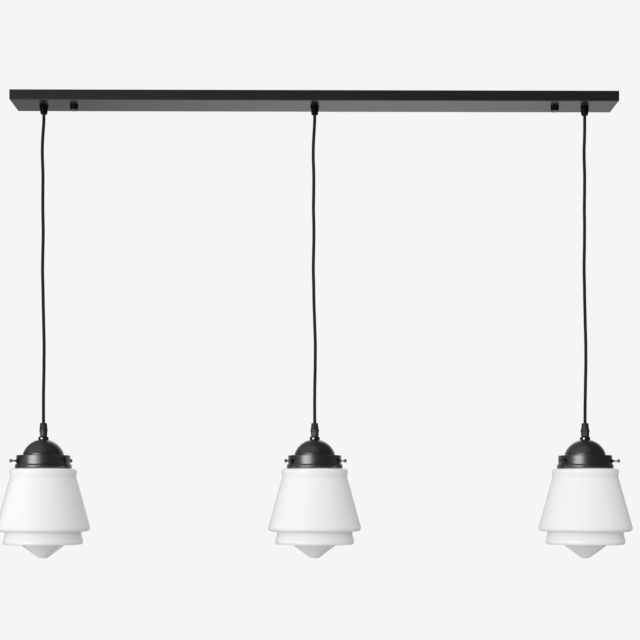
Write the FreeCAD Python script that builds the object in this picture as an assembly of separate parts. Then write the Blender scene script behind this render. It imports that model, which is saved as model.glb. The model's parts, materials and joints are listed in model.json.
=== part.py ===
import FreeCAD, Part

import math
import os

# A linear island pendant: a low steel bar against the ceiling with three opal glass shades on cords.
# Millimetres. X runs along the bar, Y towards the back, Z up, and Z is 0 at the ceiling.

# Ceiling bar, folded from one sheet and open to the ceiling
BAR_LENGTH = 1300.0
BAR_WIDTH = 86.0
BAR_HEIGHT = 22.0
BAR_SHEET = 1.2
BAR_FOLD_RADIUS = 2.0

# Ceiling brackets, each with a clinched stud
BRACKET_END_DISTANCE = 130.0
BRACKET_WIDTH = 28.0
BRACKET_LENGTH = 60.0
BRACKET_SHEET = 2.0
SLOT_SPACING = 40.0
SLOT_LENGTH = 12.0
SLOT_WIDTH = 5.0
STUD_DIAMETER = 5.0
STUD_HEAD_DIAMETER = 9.0
STUD_HEAD_HEIGHT = 0.8
STUD_ENGAGEMENT = 7.0
STUD_HOLE_CLEARANCE = 0.4

# Knurled cap nuts under the bar
CAP_NUT_DIAMETER = 18.0
CAP_NUT_WAIST_DIAMETER = 16.4
CAP_NUT_RIM_DIAMETER = 18.4
CAP_NUT_HEIGHT = 10.0
CAP_NUT_KNURL_HEIGHT = 4.8
CAP_NUT_RIM_HEIGHT = 1.9
CAP_NUT_KNURL_COUNT = 28
CAP_NUT_KNURL_DEPTH = 0.4
CAP_NUT_BEVEL = 0.6

# Pendants and their cords
SIDES = {"left": -1, "middle": 0, "right": 1}
PENDANT_END_DISTANCE = 65.0
CORD_DIAMETER = 6.8
CORD_FREE_LENGTH = 667.2
CORD_TOP_LENGTH = 25.0
CORD_PIVOT_INSET = 1.0
CORD_END_CLEARANCE = 0.3
CORD_SWING_CLEARANCE = 0.9
CORE_DIAMETER = 2.2
CORE_SPREAD = 2.25

# Cord grips, the same above and below: a faceted cap over a collet, a hexagonal ring, then the body
GRIP_CAP_LENGTH = 14.0
GRIP_CAP_SIDE_COUNT = 12
GRIP_CAP_BASE_DIAMETER = 17.4
GRIP_CAP_MOUTH_DIAMETER = 14.6
GRIP_CAP_BEVEL = 1.0
GRIP_MOUTH_BORE = 8.8
GRIP_RING_DIAMETER = 20.0
GRIP_RING_HEIGHT = 4.6
GRIP_RING_BEVEL = 0.9
GRIP_BORE = 7.8
COLLET_DIAMETER = 11.0
COLLET_LENGTH = 9.0
COLLET_CLEARANCE = 0.2
BARREL_ACROSS_FLATS = 16.0
BARREL_LENGTH = 10.9
THREAD_DIAMETER = 10.0
THREAD_CLEARANCE = 0.1
LOCKNUT_ACROSS_FLATS = 14.0
LOCKNUT_HEIGHT = 3.0
SPIGOT_PROJECTION = 1.2

# Wiring in the bar
TAIL_BEND_RADIUS = 8.2
TAIL_LINE_Y = 17.0
TAIL_SLANT_LENGTH = 115.0
TAIL_SLANT_RADIUS = 700.0
MIDDLE_TAIL_DROP = 4.0
MIDDLE_TAIL_RADIUS = 6.6
BLOCK_X = 57.0
BLOCK_Y = TAIL_LINE_Y / 2
BLOCK_LENGTH = 22.0
BLOCK_HEIGHT = 13.0
BLOCK_EDGE = 2.0
POLE_COUNT = 3
POLE_PITCH = 10.0
ENTRY_WIDTH = 5.8
ENTRY_HEIGHT = 6.2
ENTRY_DEPTH = 8.0
ENTRY_RISE = 6.8
CORE_STACK = 2.9
CORE_FAN = 26.0
CORE_INSERTION = 5.0
TERMINAL_SCREW_DIAMETER = 3.8
TERMINAL_SCREW_LENGTH = 2.8
WELL_CLEARANCE = 0.2
BLOCK_STUD_DIAMETER = 3.0
BLOCK_NUT_ACROSS_FLATS = 5.5
BLOCK_NUT_HEIGHT = 2.4
BLOCK_STUD_PROJECTION = 1.0
EARTH_X = 112.0
EARTH_Y = -12.0
EARTH_STUD_DIAMETER = 4.0
EARTH_STUD_LENGTH = 8.0
EARTH_NUT_ACROSS_FLATS = 7.0
EARTH_NUT_HEIGHT = 3.2
LUG_DIAMETER = 8.5
LUG_SHEET = 0.8
LUG_NECK = 1.0
LUG_BARREL_LENGTH = 8.0

# Collar ring and threaded nipple
COLLAR_DIAMETER = 22.3
COLLAR_HEIGHT = 8.0
COLLAR_BEVEL = 0.6
NIPPLE_BORE = 7.8
NIPPLE_GRIP_DEPTH = 6.0
NIPPLE_HOLDER_DEPTH = 6.5

# Gallery, spun from one sheet: domed top, flat step, band and rolled bead
GALLERY_SHEET = 1.0
DOME_RADIUS = 45.9
DOME_HEIGHT = 32.5
DOME_FACE_COUNT = 5
DOME_INNER_FACE_COUNT = 4
BAND_DIAMETER = 114.6
BAND_HEIGHT = 20.4
BEAD_DIAMETER = 121.6
BEAD_HEIGHT = 7.5

# Thumb screws through welded bosses in the band
SCREW_COUNT = 3
SCREW_TURN = -27.3
SCREW_DROP = 12.6
SCREW_DIAMETER = 3.0
SCREW_CLEARANCE = 0.1
KNOB_DIAMETER = 7.8
KNOB_LENGTH = 5.0
KNOB_REACH = 18.6
KNOB_SIDE_COUNT = 12
BOSS_DIAMETER = 6.6
BOSS_HEIGHT = 3.2

# Lampholder and bulb
HOLDER_CAP_CLEARANCE = 0.3
HOLDER_CAP_HEIGHT = 12.0
HOLDER_DIAMETER = 39.0
HOLDER_HEIGHT = 46.0
HOLDER_WALL = 1.6
INSERT_CLEARANCE = 0.3
INSERT_HEIGHT = 26.0
INSERT_FLOOR = 4.0
BULB_BASE_DIAMETER = 26.4
BULB_BASE_LENGTH = 24.0
BULB_BASE_CLEARANCE = 0.3
BULB_DIAMETER = 45.0
BULB_LENGTH = 106.0
BULB_BEVEL = 4.0

# Opal glass shade, blown in one piece
GLASS_WALL = 3.2
LIP_DIAMETER = 105.0
LIP_HEIGHT = 5.0
LIP_SCREW_CLEARANCE = 0.3
NECK_DIAMETER = 99.5
NECK_GALLERY_GAP = 1.0
SCREW_TIP_GAP = 0.5
SHOULDER_DIAMETER = 146.0
SHOULDER_RADIUS = 7.0
SHOULDER_SIDE = 8.0
WAIST_DIAMETER = 143.4
WAIST_DROP = 9.5
SHADE_DIAMETER = 201.0
SHADE_CONE_HEIGHT = 104.4
SHADE_EDGE_RADIUS = 6.0
ROUND_FACE_COUNT = 2
TIER_TOP_DIAMETER = 163.0
TIER_DIAMETER = 170.0
TIER_FLARE_HEIGHT = 19.0
TIER_HEIGHT = 28.0
TIER_BEVEL = 2.4
FINIAL_DIAMETER = 99.0
FINIAL_HEIGHT = 29.7
FINIAL_TIP_DIAMETER = 17.0

# Heights that follow from the sizes above
FLOOR = BAR_SHEET - BAR_HEIGHT
UPPER_RING = -BAR_HEIGHT
UPPER_MOUTH = UPPER_RING - GRIP_RING_HEIGHT - GRIP_CAP_LENGTH
SWING_PIVOT = UPPER_MOUTH + CORD_PIVOT_INSET
SWAY_PIVOT = SWING_PIVOT - CORD_TOP_LENGTH
LOWER_MOUTH = UPPER_MOUTH - CORD_FREE_LENGTH
LOWER_RING = LOWER_MOUTH - GRIP_CAP_LENGTH - GRIP_RING_HEIGHT
COLLAR_TOP = LOWER_RING - BARREL_LENGTH
DOME_TOP = COLLAR_TOP - COLLAR_HEIGHT
STEP = DOME_TOP - DOME_HEIGHT
BEAD_TOP = STEP - BAND_HEIGHT
GALLERY_BOTTOM = BEAD_TOP - BEAD_HEIGHT
SCREW_AXIS = STEP - SCREW_DROP
HOLDER_TOP = DOME_TOP - GALLERY_SHEET
HOLDER_BOTTOM = HOLDER_TOP - HOLDER_HEIGHT
INSERT_TOP = HOLDER_BOTTOM + INSERT_HEIGHT
CORD_BOTTOM = INSERT_TOP + CORD_END_CLEARANCE
BULB_TOP = INSERT_TOP - INSERT_FLOOR - CORD_END_CLEARANCE
LIP_BOTTOM = SCREW_AXIS + SCREW_DIAMETER / 2 + LIP_SCREW_CLEARANCE
LIP_TOP = LIP_BOTTOM + LIP_HEIGHT
SHOULDER_TOP = GALLERY_BOTTOM - NECK_GALLERY_GAP
SHOULDER_BOTTOM = SHOULDER_TOP - SHOULDER_RADIUS - SHOULDER_SIDE
WAIST = SHOULDER_BOTTOM - WAIST_DROP
EDGE_TOP = WAIST - SHADE_CONE_HEIGHT
SHADE_STEP = EDGE_TOP - SHADE_EDGE_RADIUS
TIER_BOTTOM = SHADE_STEP - TIER_HEIGHT
TIP = TIER_BOTTOM - FINIAL_HEIGHT

CORD_R = CORD_DIAMETER / 2
THREAD_R = THREAD_DIAMETER / 2
THREAD_HOLE_R = THREAD_R + THREAD_CLEARANCE
TAIL_Z = FLOOR + LOCKNUT_HEIGHT + SPIGOT_PROJECTION + TAIL_BEND_RADIUS


def vector(x, y, z):
    return FreeCAD.Vector(x, y, z)


def line(start, end):
    return Part.LineSegment(start, end).toShape()


def lathe(outline, x=0.0, y=0.0):
    """A solid turned about the vertical line at (x, y) from (radius, height) points in order."""
    points = [vector(x + radius, y, height) for radius, height in outline]
    edges = [line(a, b) for a, b in zip(points, points[1:] + points[:1])]
    face = Part.Face(Part.Wire(edges))
    return face.revolve(vector(x, y, 0), vector(0, 0, 1), 360)


def round_points(centre_r, centre_z, radius, first, last, faces):
    """Points of a round stretch, as (radius, height), from one angle in degrees to another."""
    points = []
    for i in range(faces + 1):
        angle = math.radians(first + (last - first) * i / faces)
        points.append((centre_r + radius * math.cos(angle), centre_z + radius * math.sin(angle)))
    return points


def rod(radius, low, high, x=0.0, y=0.0):
    return Part.makeCylinder(radius, high - low, vector(x, y, low))


def tube(outer, inner, low, high, x=0.0, y=0.0):
    return rod(outer, low, high, x, y).cut(rod(inner, low, high, x, y))


def straight_rod(start, end, radius):
    """A round rod between two points."""
    return Part.makeCylinder(radius, (end - start).Length, start, end - start)


def centred_box(length, width, low, high, x=0.0, y=0.0):
    corner = vector(x - length / 2, y - width / 2, low)
    return Part.makeBox(length, width, high - low, corner)


def faceted(sides, stations, x=0.0, y=0.0, depth=0.0):
    """A solid with flat sides through regular outlines, one for each (corner radius, height).

    With a depth, a groove of that depth is between each two corners, as on a knurl."""
    rings = []
    count = 2 * sides if depth else sides
    for radius, height in stations:
        ring = []
        for i in range(count):
            angle = 2 * math.pi * i / count
            reach = radius - depth * (i % 2)
            ring.append(vector(x + reach * math.cos(angle), y + reach * math.sin(angle), height))
        rings.append(ring)
    faces = [Part.Face(Part.makePolygon(ring + ring[:1])) for ring in (rings[0], rings[-1])]
    for low, high in zip(rings, rings[1:]):
        for i in range(count):
            j = (i + 1) % count
            faces.append(Part.Face(Part.makePolygon([low[i], low[j], high[j], high[i], low[i]])))
    return Part.makeSolid(Part.makeShell(faces))


def corner_radius(sides, across_flats):
    return across_flats / 2 / math.cos(math.pi / sides)


def nut(across_flats, bore_radius, low, high, x=0.0, y=0.0):
    corners = corner_radius(6, across_flats)
    return faceted(6, [(corners, low), (corners, high)], x, y).cut(rod(bore_radius, low, high, x, y))


def bent_tube(points, radii, radius, name):
    """A round tube along straight runs joined by tangent arcs, one radius for each inner point."""
    edges = []
    start = points[0]
    for before, corner, after, bend in zip(points, points[1:], points[2:], radii):
        incoming = (corner - before).normalize()
        outgoing = (after - corner).normalize()
        turn = incoming.getAngle(outgoing)
        reach = bend * math.tan(turn / 2)
        arc_start = corner - incoming * reach
        arc_end = corner + outgoing * reach
        inward = (outgoing - incoming).normalize()
        middle = corner + inward * (bend / math.cos(turn / 2) - bend)
        edges.append(line(start, arc_start))
        edges.append(Part.Arc(arc_start, middle, arc_end).toShape())
        start = arc_end
    edges.append(line(start, points[-1]))
    path = Part.Wire(edges)
    direction = (points[1] - points[0]).normalize()
    section = Part.Wire(Part.Circle(points[0], direction, radius).toShape())
    solid = path.makePipeShell([section], True, False)
    share = solid.Volume / (math.pi * radius**2 * path.Length)
    print(name, "bend radii", radii, "length", round(path.Length, 1), "volume share", round(share, 4))
    return solid


def joined(solids):
    return Part.makeCompound(solids)


def pendant_x(side):
    return SIDES[side] * (BAR_LENGTH / 2 - PENDANT_END_DISTANCE)


def bracket_x(side):
    return SIDES[side] * (BAR_LENGTH / 2 - BRACKET_END_DISTANCE)


# Ceiling bar and what holds it


def ceiling_bar():
    outer = centred_box(BAR_LENGTH, BAR_WIDTH, -BAR_HEIGHT, 0)
    folds = [e for e in outer.Edges if e.BoundBox.ZMax < -BAR_HEIGHT / 2]
    outer = outer.makeFillet(BAR_FOLD_RADIUS, folds)
    inner = centred_box(BAR_LENGTH - 2 * BAR_SHEET, BAR_WIDTH - 2 * BAR_SHEET, FLOOR, BAR_HEIGHT)
    folds = [e for e in inner.Edges if e.BoundBox.ZMax < 0]
    inner = inner.makeFillet(BAR_FOLD_RADIUS - BAR_SHEET, folds)
    bar = outer.cut(inner)
    for side in SIDES:
        bar = bar.cut(rod(THREAD_HOLE_R, -BAR_HEIGHT, FLOOR, pendant_x(side)))
    for side in ("left", "right"):
        hole = STUD_DIAMETER / 2 + STUD_HOLE_CLEARANCE
        bar = bar.cut(rod(hole, -BAR_HEIGHT, FLOOR, bracket_x(side)))
    return bar


def slot(x, y, low, high):
    """A slot along X with round ends."""
    radius = SLOT_WIDTH / 2
    straight = SLOT_LENGTH - SLOT_WIDTH
    cutter = centred_box(straight, SLOT_WIDTH, low, high, x, y)
    for end in (-1, 1):
        cutter = cutter.fuse(rod(radius, low, high, x + end * straight / 2, y))
    return cutter


def ceiling_bracket(side):
    x = bracket_x(side)
    plate = centred_box(BRACKET_WIDTH, BRACKET_LENGTH, -BRACKET_SHEET, 0, x)
    for end in (-1, 1):
        plate = plate.cut(slot(x, end * SLOT_SPACING / 2, -BRACKET_SHEET, 0))
    plate = plate.cut(rod(STUD_DIAMETER / 2 + THREAD_CLEARANCE, -BRACKET_SHEET, 0, x))
    return plate.cut(rod(STUD_HEAD_DIAMETER / 2 + THREAD_CLEARANCE, -STUD_HEAD_HEIGHT, 0, x))


def bracket_studs():
    studs = []
    for side in ("left", "right"):
        outline = [
            (0, 0),
            (STUD_HEAD_DIAMETER / 2, 0),
            (STUD_HEAD_DIAMETER / 2, -STUD_HEAD_HEIGHT),
            (STUD_DIAMETER / 2, -STUD_HEAD_HEIGHT),
            (STUD_DIAMETER / 2, -BAR_HEIGHT - STUD_ENGAGEMENT),
            (0, -BAR_HEIGHT - STUD_ENGAGEMENT),
        ]
        studs.append(lathe(outline, bracket_x(side)))
    return joined(studs)


def cap_nut(side):
    x = bracket_x(side)
    top = -BAR_HEIGHT
    bottom = top - CAP_NUT_HEIGHT
    knurl_low = top - CAP_NUT_KNURL_HEIGHT
    rim_top = bottom + CAP_NUT_RIM_HEIGHT
    radius = CAP_NUT_DIAMETER / 2
    rim = CAP_NUT_RIM_DIAMETER / 2
    knurl = faceted(CAP_NUT_KNURL_COUNT, [(radius, knurl_low), (radius, top)], x, 0, CAP_NUT_KNURL_DEPTH)
    waist = rod(CAP_NUT_WAIST_DIAMETER / 2, rim_top, knurl_low, x)
    foot_outline = [
        (0, bottom),
        (rim - CAP_NUT_BEVEL, bottom),
        (rim, bottom + CAP_NUT_BEVEL),
        (rim, rim_top),
        (0, rim_top),
    ]
    foot = lathe(foot_outline, x)
    thread_end = top - STUD_ENGAGEMENT - THREAD_CLEARANCE
    return knurl.fuse(waist).fuse(foot).cut(rod(STUD_DIAMETER / 2 + THREAD_CLEARANCE, thread_end, top, x))


# Cord grips, drawn with the mouth upwards from the ring's outer face at height 0


def grip_cap(x):
    mouth = GRIP_RING_HEIGHT + GRIP_CAP_LENGTH
    bevel = mouth - GRIP_CAP_BEVEL
    base_r = GRIP_CAP_BASE_DIAMETER / 2
    mouth_r = GRIP_CAP_MOUTH_DIAMETER / 2
    stations = [(base_r, GRIP_RING_HEIGHT), (mouth_r, bevel), (mouth_r - GRIP_CAP_BEVEL, mouth)]
    pocket_r = COLLET_DIAMETER / 2 + COLLET_CLEARANCE
    pocket_end = GRIP_RING_HEIGHT + COLLET_LENGTH + COLLET_CLEARANCE
    cap = faceted(GRIP_CAP_SIDE_COUNT, stations, x)
    cap = cap.cut(rod(pocket_r, GRIP_RING_HEIGHT, pocket_end, x))
    return cap.cut(rod(GRIP_MOUTH_BORE / 2, GRIP_RING_HEIGHT, mouth, x))


def grip_ring_and_collet(x):
    corners = GRIP_RING_DIAMETER / 2
    bevelled = corners - GRIP_RING_BEVEL
    stations = [
        (bevelled, 0),
        (corners, GRIP_RING_BEVEL),
        (corners, GRIP_RING_HEIGHT - GRIP_RING_BEVEL),
        (bevelled, GRIP_RING_HEIGHT),
    ]
    collet = rod(COLLET_DIAMETER / 2, GRIP_RING_HEIGHT / 2, GRIP_RING_HEIGHT + COLLET_LENGTH, x)
    return faceted(6, stations, x).fuse(collet)


def hang(shape):
    """Turns a grip piece mouth down and seats its ring on the underside of the bar."""
    shape = shape.copy()
    axis_point = shape.BoundBox.Center
    shape.rotate(vector(axis_point.x, axis_point.y, 0), vector(1, 0, 0), 180)
    shape.translate(vector(0, 0, UPPER_RING))
    return shape


def stand(shape, x):
    """Seats a grip piece on its barrel's top above the shade at x."""
    shape = shape.copy()
    shape.translate(vector(x, 0, LOWER_RING))
    return shape


def upper_grip_body(x):
    spigot = BAR_SHEET + LOCKNUT_HEIGHT + SPIGOT_PROJECTION
    body = grip_ring_and_collet(x).fuse(rod(THREAD_R, -spigot, GRIP_RING_HEIGHT / 2, x))
    return hang(body.cut(rod(GRIP_BORE / 2, -spigot, GRIP_RING_HEIGHT + COLLET_LENGTH, x)))


def upper_grip_bodies():
    return joined([upper_grip_body(pendant_x(side)) for side in SIDES])


def upper_grip_caps():
    return joined([hang(grip_cap(pendant_x(side))) for side in SIDES])


def upper_grip_locknuts():
    top = FLOOR + LOCKNUT_HEIGHT
    return joined([nut(LOCKNUT_ACROSS_FLATS, THREAD_HOLE_R, FLOOR, top, pendant_x(side)) for side in SIDES])


def lower_grip_cap(side):
    return stand(grip_cap(0), pendant_x(side))


def lower_grip_body(side):
    corners = corner_radius(6, BARREL_ACROSS_FLATS)
    barrel = faceted(6, [(corners, -BARREL_LENGTH), (corners, GRIP_RING_BEVEL)])
    body = grip_ring_and_collet(0).fuse(barrel)
    body = body.cut(rod(GRIP_BORE / 2, -BARREL_LENGTH, GRIP_RING_HEIGHT + COLLET_LENGTH))
    thread_end = -BARREL_LENGTH + NIPPLE_GRIP_DEPTH + THREAD_CLEARANCE
    return stand(body.cut(rod(THREAD_HOLE_R, -BARREL_LENGTH, thread_end)), pendant_x(side))


# Cords


def cord_top(side):
    """The first stretch below the grip, with a pointed end that turns inside the grip's mouth."""
    outline = [
        (0, SWING_PIVOT + CORD_R),
        (CORD_R, SWING_PIVOT),
        (CORD_R, SWAY_PIVOT + CORD_SWING_CLEARANCE),
        (0, SWAY_PIVOT + CORD_SWING_CLEARANCE),
    ]
    return lathe(outline, pendant_x(side))


def cord(side):
    """The rest of the cord, down through the lower grip and the nipple to the lampholder's insert."""
    crown = CORD_SWING_CLEARANCE - CORD_END_CLEARANCE
    outline = [(0, SWAY_PIVOT + crown), (CORD_R, SWAY_PIVOT), (CORD_R, CORD_BOTTOM), (0, CORD_BOTTOM)]
    return lathe(outline, pendant_x(side))


def pole_y(index):
    return BLOCK_Y + (index - (POLE_COUNT - 1) / 2) * POLE_PITCH


def cores(sheath_end, face_x, direction, level):
    """Three bare-ended cores, fanned from the end of a sheath into the three poles of the block."""
    wires = []
    half_insertion = direction * CORE_INSERTION / 2
    for index in range(POLE_COUNT):
        y_side = index - (POLE_COUNT - 1) / 2
        start = sheath_end + vector(0, y_side * CORE_SPREAD, 0)
        middle = vector(face_x + half_insertion, pole_y(index), level)
        tip = middle + (middle - start) * (half_insertion / (middle.x - start.x))
        wires.append(straight_rod(start, tip, CORE_DIAMETER / 2))
    return wires


def cord_tails():
    """The cords' ends inside the bar: up out of the grip, over, past the bracket and into the block."""
    level = FLOOR + ENTRY_RISE
    solids = []
    for side in SIDES:
        x = pendant_x(side)
        direction = -1 if side == "right" else 1
        face_x = BLOCK_X - direction * BLOCK_LENGTH / 2
        sheath_x = face_x - direction * CORE_FAN
        start = vector(x, 0, SWING_PIVOT + CORD_R + CORD_END_CLEARANCE)
        turn = vector(x, 0, TAIL_Z)
        if side == "middle":
            points = [start, turn, vector(sheath_x, 0, TAIL_Z - MIDDLE_TAIL_DROP)]
            radii = [MIDDLE_TAIL_RADIUS]
            core_level = level - CORE_STACK / 2
        else:
            slant_x = x + direction * TAIL_SLANT_LENGTH
            points = [start, turn, vector(slant_x, TAIL_LINE_Y, TAIL_Z), vector(sheath_x, TAIL_LINE_Y, TAIL_Z)]
            radii = [TAIL_BEND_RADIUS, TAIL_SLANT_RADIUS]
            core_level = level + CORE_STACK / 2
        tail = bent_tube(points, radii, CORD_R, side + " cord tail")
        for core in cores(points[-1], face_x, direction, core_level):
            tail = tail.fuse(core)
        solids.append(tail)
    return joined(solids)


# Terminal block and earth terminal


def screw_x(end):
    return BLOCK_X + end * (BLOCK_LENGTH / 2 - ENTRY_DEPTH / 2)


def stud_y(end):
    return BLOCK_Y + end * POLE_PITCH / 2


def terminal_block():
    width = POLE_COUNT * POLE_PITCH + 2 * BLOCK_EDGE
    top = FLOOR + BLOCK_HEIGHT
    block = centred_box(BLOCK_LENGTH, width, FLOOR, top, BLOCK_X, BLOCK_Y)
    entry_low = FLOOR + ENTRY_RISE - ENTRY_HEIGHT / 2
    entry_high = entry_low + ENTRY_HEIGHT
    well = TERMINAL_SCREW_DIAMETER / 2 + WELL_CLEARANCE
    hole = BLOCK_STUD_DIAMETER / 2 + WELL_CLEARANCE
    for end in (-1, 1):
        x = screw_x(end)
        for index in range(POLE_COUNT):
            y = pole_y(index)
            block = block.cut(centred_box(ENTRY_DEPTH, ENTRY_WIDTH, entry_low, entry_high, x, y))
            block = block.cut(rod(well, entry_high, top, x, y))
        block = block.cut(rod(hole, FLOOR, top, BLOCK_X, stud_y(end)))
    return block


def terminal_screws():
    wire_top = FLOOR + ENTRY_RISE + CORE_STACK / 2 + CORE_DIAMETER / 2
    low = wire_top + WELL_CLEARANCE
    high = low + TERMINAL_SCREW_LENGTH
    solids = []
    for end in (-1, 1):
        for index in range(POLE_COUNT):
            solids.append(rod(TERMINAL_SCREW_DIAMETER / 2, low, high, screw_x(end), pole_y(index)))
    return joined(solids)


def terminal_block_fixings():
    """Two studs welded to the bar's floor and the nuts that hold the block down on them."""
    top = FLOOR + BLOCK_HEIGHT
    nut_top = top + BLOCK_NUT_HEIGHT
    radius = BLOCK_STUD_DIAMETER / 2
    bore = radius + THREAD_CLEARANCE
    solids = []
    for end in (-1, 1):
        y = stud_y(end)
        solids.append(rod(radius, FLOOR, nut_top + BLOCK_STUD_PROJECTION, BLOCK_X, y))
        solids.append(nut(BLOCK_NUT_ACROSS_FLATS, bore, top, nut_top, BLOCK_X, y))
    return joined(solids)


def earth_fixings():
    """The stud welded to the bar's floor and the nut that clamps the earth lug on it."""
    radius = EARTH_STUD_DIAMETER / 2
    bore = radius + THREAD_CLEARANCE
    low = FLOOR + LUG_SHEET
    stud = rod(radius, FLOOR, FLOOR + EARTH_STUD_LENGTH, EARTH_X, EARTH_Y)
    clamp = nut(EARTH_NUT_ACROSS_FLATS, bore, low, low + EARTH_NUT_HEIGHT, EARTH_X, EARTH_Y)
    return joined([stud, clamp])


def earth_lead():
    """The green and yellow lead from the first pole, with a ring lug crimped on its end at the earth stud."""
    radius = CORE_DIAMETER / 2
    lug_top = FLOOR + LUG_SHEET
    half_insertion = CORE_INSERTION / 2
    entry_z = FLOOR + ENTRY_RISE - CORE_STACK / 2
    entry = vector(BLOCK_X + BLOCK_LENGTH / 2 - half_insertion, pole_y(0), entry_z)
    centre = vector(EARTH_X, EARTH_Y, lug_top + radius - LUG_SHEET / 2)
    heading = vector(entry.x - centre.x, entry.y - centre.y, 0).normalize()
    crimp_start = centre + heading * (LUG_DIAMETER / 2 + LUG_NECK)
    crimp_end = crimp_start + heading * LUG_BARREL_LENGTH
    tip = entry + (entry - crimp_end) * (half_insertion / abs(entry.x - crimp_end.x))
    reach = (crimp_end - centre).Length
    tongue = centred_box(reach, CORE_DIAMETER, FLOOR, lug_top, reach / 2)
    tongue.rotate(vector(0, 0, 0), vector(0, 0, 1), math.degrees(math.atan2(heading.y, heading.x)))
    tongue.translate(vector(EARTH_X, EARTH_Y, 0))
    lug = rod(LUG_DIAMETER / 2, FLOOR, lug_top, EARTH_X, EARTH_Y).fuse(tongue)
    lug = lug.cut(rod(EARTH_STUD_DIAMETER / 2 + THREAD_CLEARANCE, FLOOR, lug_top, EARTH_X, EARTH_Y))
    return lug.fuse(straight_rod(crimp_start, crimp_end, radius)).fuse(straight_rod(crimp_end, tip, radius))


# Lamp: what hangs on each cord


def collar_ring(side):
    radius = COLLAR_DIAMETER / 2
    outline = [
        (THREAD_HOLE_R, DOME_TOP),
        (radius - COLLAR_BEVEL, DOME_TOP),
        (radius, DOME_TOP + COLLAR_BEVEL),
        (radius, COLLAR_TOP - COLLAR_BEVEL),
        (radius - COLLAR_BEVEL, COLLAR_TOP),
        (THREAD_HOLE_R, COLLAR_TOP),
    ]
    return lathe(outline, pendant_x(side))


def nipple(side):
    low = HOLDER_TOP - NIPPLE_HOLDER_DEPTH
    return tube(THREAD_R, NIPPLE_BORE / 2, low, COLLAR_TOP + NIPPLE_GRIP_DEPTH, pendant_x(side))


def dome_points(radius, flat_r, flat_z, step_z, faces):
    """Points down a dome, from its flat top to the height where it meets the step."""
    centre_z = flat_z - math.sqrt(radius**2 - flat_r**2)
    first = math.degrees(math.asin((flat_z - centre_z) / radius))
    last = math.degrees(math.asin((step_z - centre_z) / radius))
    return round_points(0, centre_z, radius, first, last, faces)


def screw_angle(index):
    return SCREW_TURN + 360.0 * index / SCREW_COUNT


def radial_rod(radius, near, far, index, x):
    """A rod along one thumb screw's line, between two distances from the lamp's axis."""
    angle = math.radians(screw_angle(index))
    outward = vector(math.cos(angle), math.sin(angle), 0)
    centre = vector(x, 0, SCREW_AXIS)
    return straight_rod(centre + outward * near, centre + outward * far, radius)


def gallery(side):
    x = pendant_x(side)
    outer = BAND_DIAMETER / 2
    inner = outer - GALLERY_SHEET
    bead = BEAD_DIAMETER / 2
    flat_r = COLLAR_DIAMETER / 2
    outline = [(THREAD_HOLE_R, DOME_TOP)]
    outline += dome_points(DOME_RADIUS, flat_r, DOME_TOP, STEP, DOME_FACE_COUNT)
    outline += [
        (outer, STEP),
        (outer, BEAD_TOP),
        (bead, BEAD_TOP - 0.3 * BEAD_HEIGHT),
        (bead - 0.3 * BEAD_HEIGHT, GALLERY_BOTTOM),
        (inner, GALLERY_BOTTOM),
        (inner, STEP - GALLERY_SHEET),
    ]
    hollow_r = DOME_RADIUS - GALLERY_SHEET
    hollow_top = DOME_TOP - GALLERY_SHEET
    hollow = dome_points(hollow_r, flat_r, hollow_top, STEP - GALLERY_SHEET, DOME_INNER_FACE_COUNT)
    outline += hollow[::-1]
    outline.append((THREAD_HOLE_R, hollow_top))
    shell = lathe(outline, x)
    boss_end = outer + BOSS_HEIGHT
    hole = SCREW_DIAMETER / 2 + SCREW_CLEARANCE
    for index in range(SCREW_COUNT):
        shell = shell.fuse(radial_rod(BOSS_DIAMETER / 2, inner + GALLERY_SHEET / 2, boss_end, index, x))
        shell = shell.cut(radial_rod(hole, inner - GALLERY_SHEET, boss_end, index, x))
    return shell


def thumb_screw(side, index):
    x = pendant_x(side)
    tip = NECK_DIAMETER / 2 + SCREW_TIP_GAP
    end = BAND_DIAMETER / 2 + KNOB_REACH
    knob_start = end - KNOB_LENGTH
    radius = KNOB_DIAMETER / 2
    shoulder = 0.15 * KNOB_LENGTH
    stations = [
        (0.8 * radius, knob_start),
        (radius, knob_start + shoulder),
        (radius, end - 2 * shoulder),
        (0.62 * radius, end),
    ]
    knob = faceted(KNOB_SIDE_COUNT, stations)
    screw = rod(SCREW_DIAMETER / 2, tip, knob_start + shoulder).fuse(knob)
    screw.rotate(vector(0, 0, 0), vector(0, 1, 0), 90)
    screw.rotate(vector(0, 0, 0), vector(0, 0, 1), screw_angle(index))
    screw.translate(vector(x, 0, SCREW_AXIS))
    return screw


def lampholder_housing(side):
    radius = HOLDER_DIAMETER / 2
    cap = COLLAR_DIAMETER / 2 - HOLDER_CAP_CLEARANCE
    cap_low = HOLDER_TOP - HOLDER_CAP_HEIGHT
    outline = [
        (THREAD_HOLE_R, HOLDER_TOP),
        (cap, HOLDER_TOP),
        (cap, cap_low),
        (radius, cap_low),
        (radius, HOLDER_BOTTOM),
        (radius - HOLDER_WALL, HOLDER_BOTTOM),
        (radius - HOLDER_WALL, cap_low - HOLDER_WALL),
        (THREAD_HOLE_R, cap_low - HOLDER_WALL),
    ]
    return lathe(outline, pendant_x(side))


def lampholder_insert(side):
    radius = HOLDER_DIAMETER / 2 - HOLDER_WALL - INSERT_CLEARANCE
    bore = BULB_BASE_DIAMETER / 2 + BULB_BASE_CLEARANCE
    body = rod(radius, HOLDER_BOTTOM, INSERT_TOP, pendant_x(side))
    return body.cut(rod(bore, HOLDER_BOTTOM, INSERT_TOP - INSERT_FLOOR, pendant_x(side)))


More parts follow.
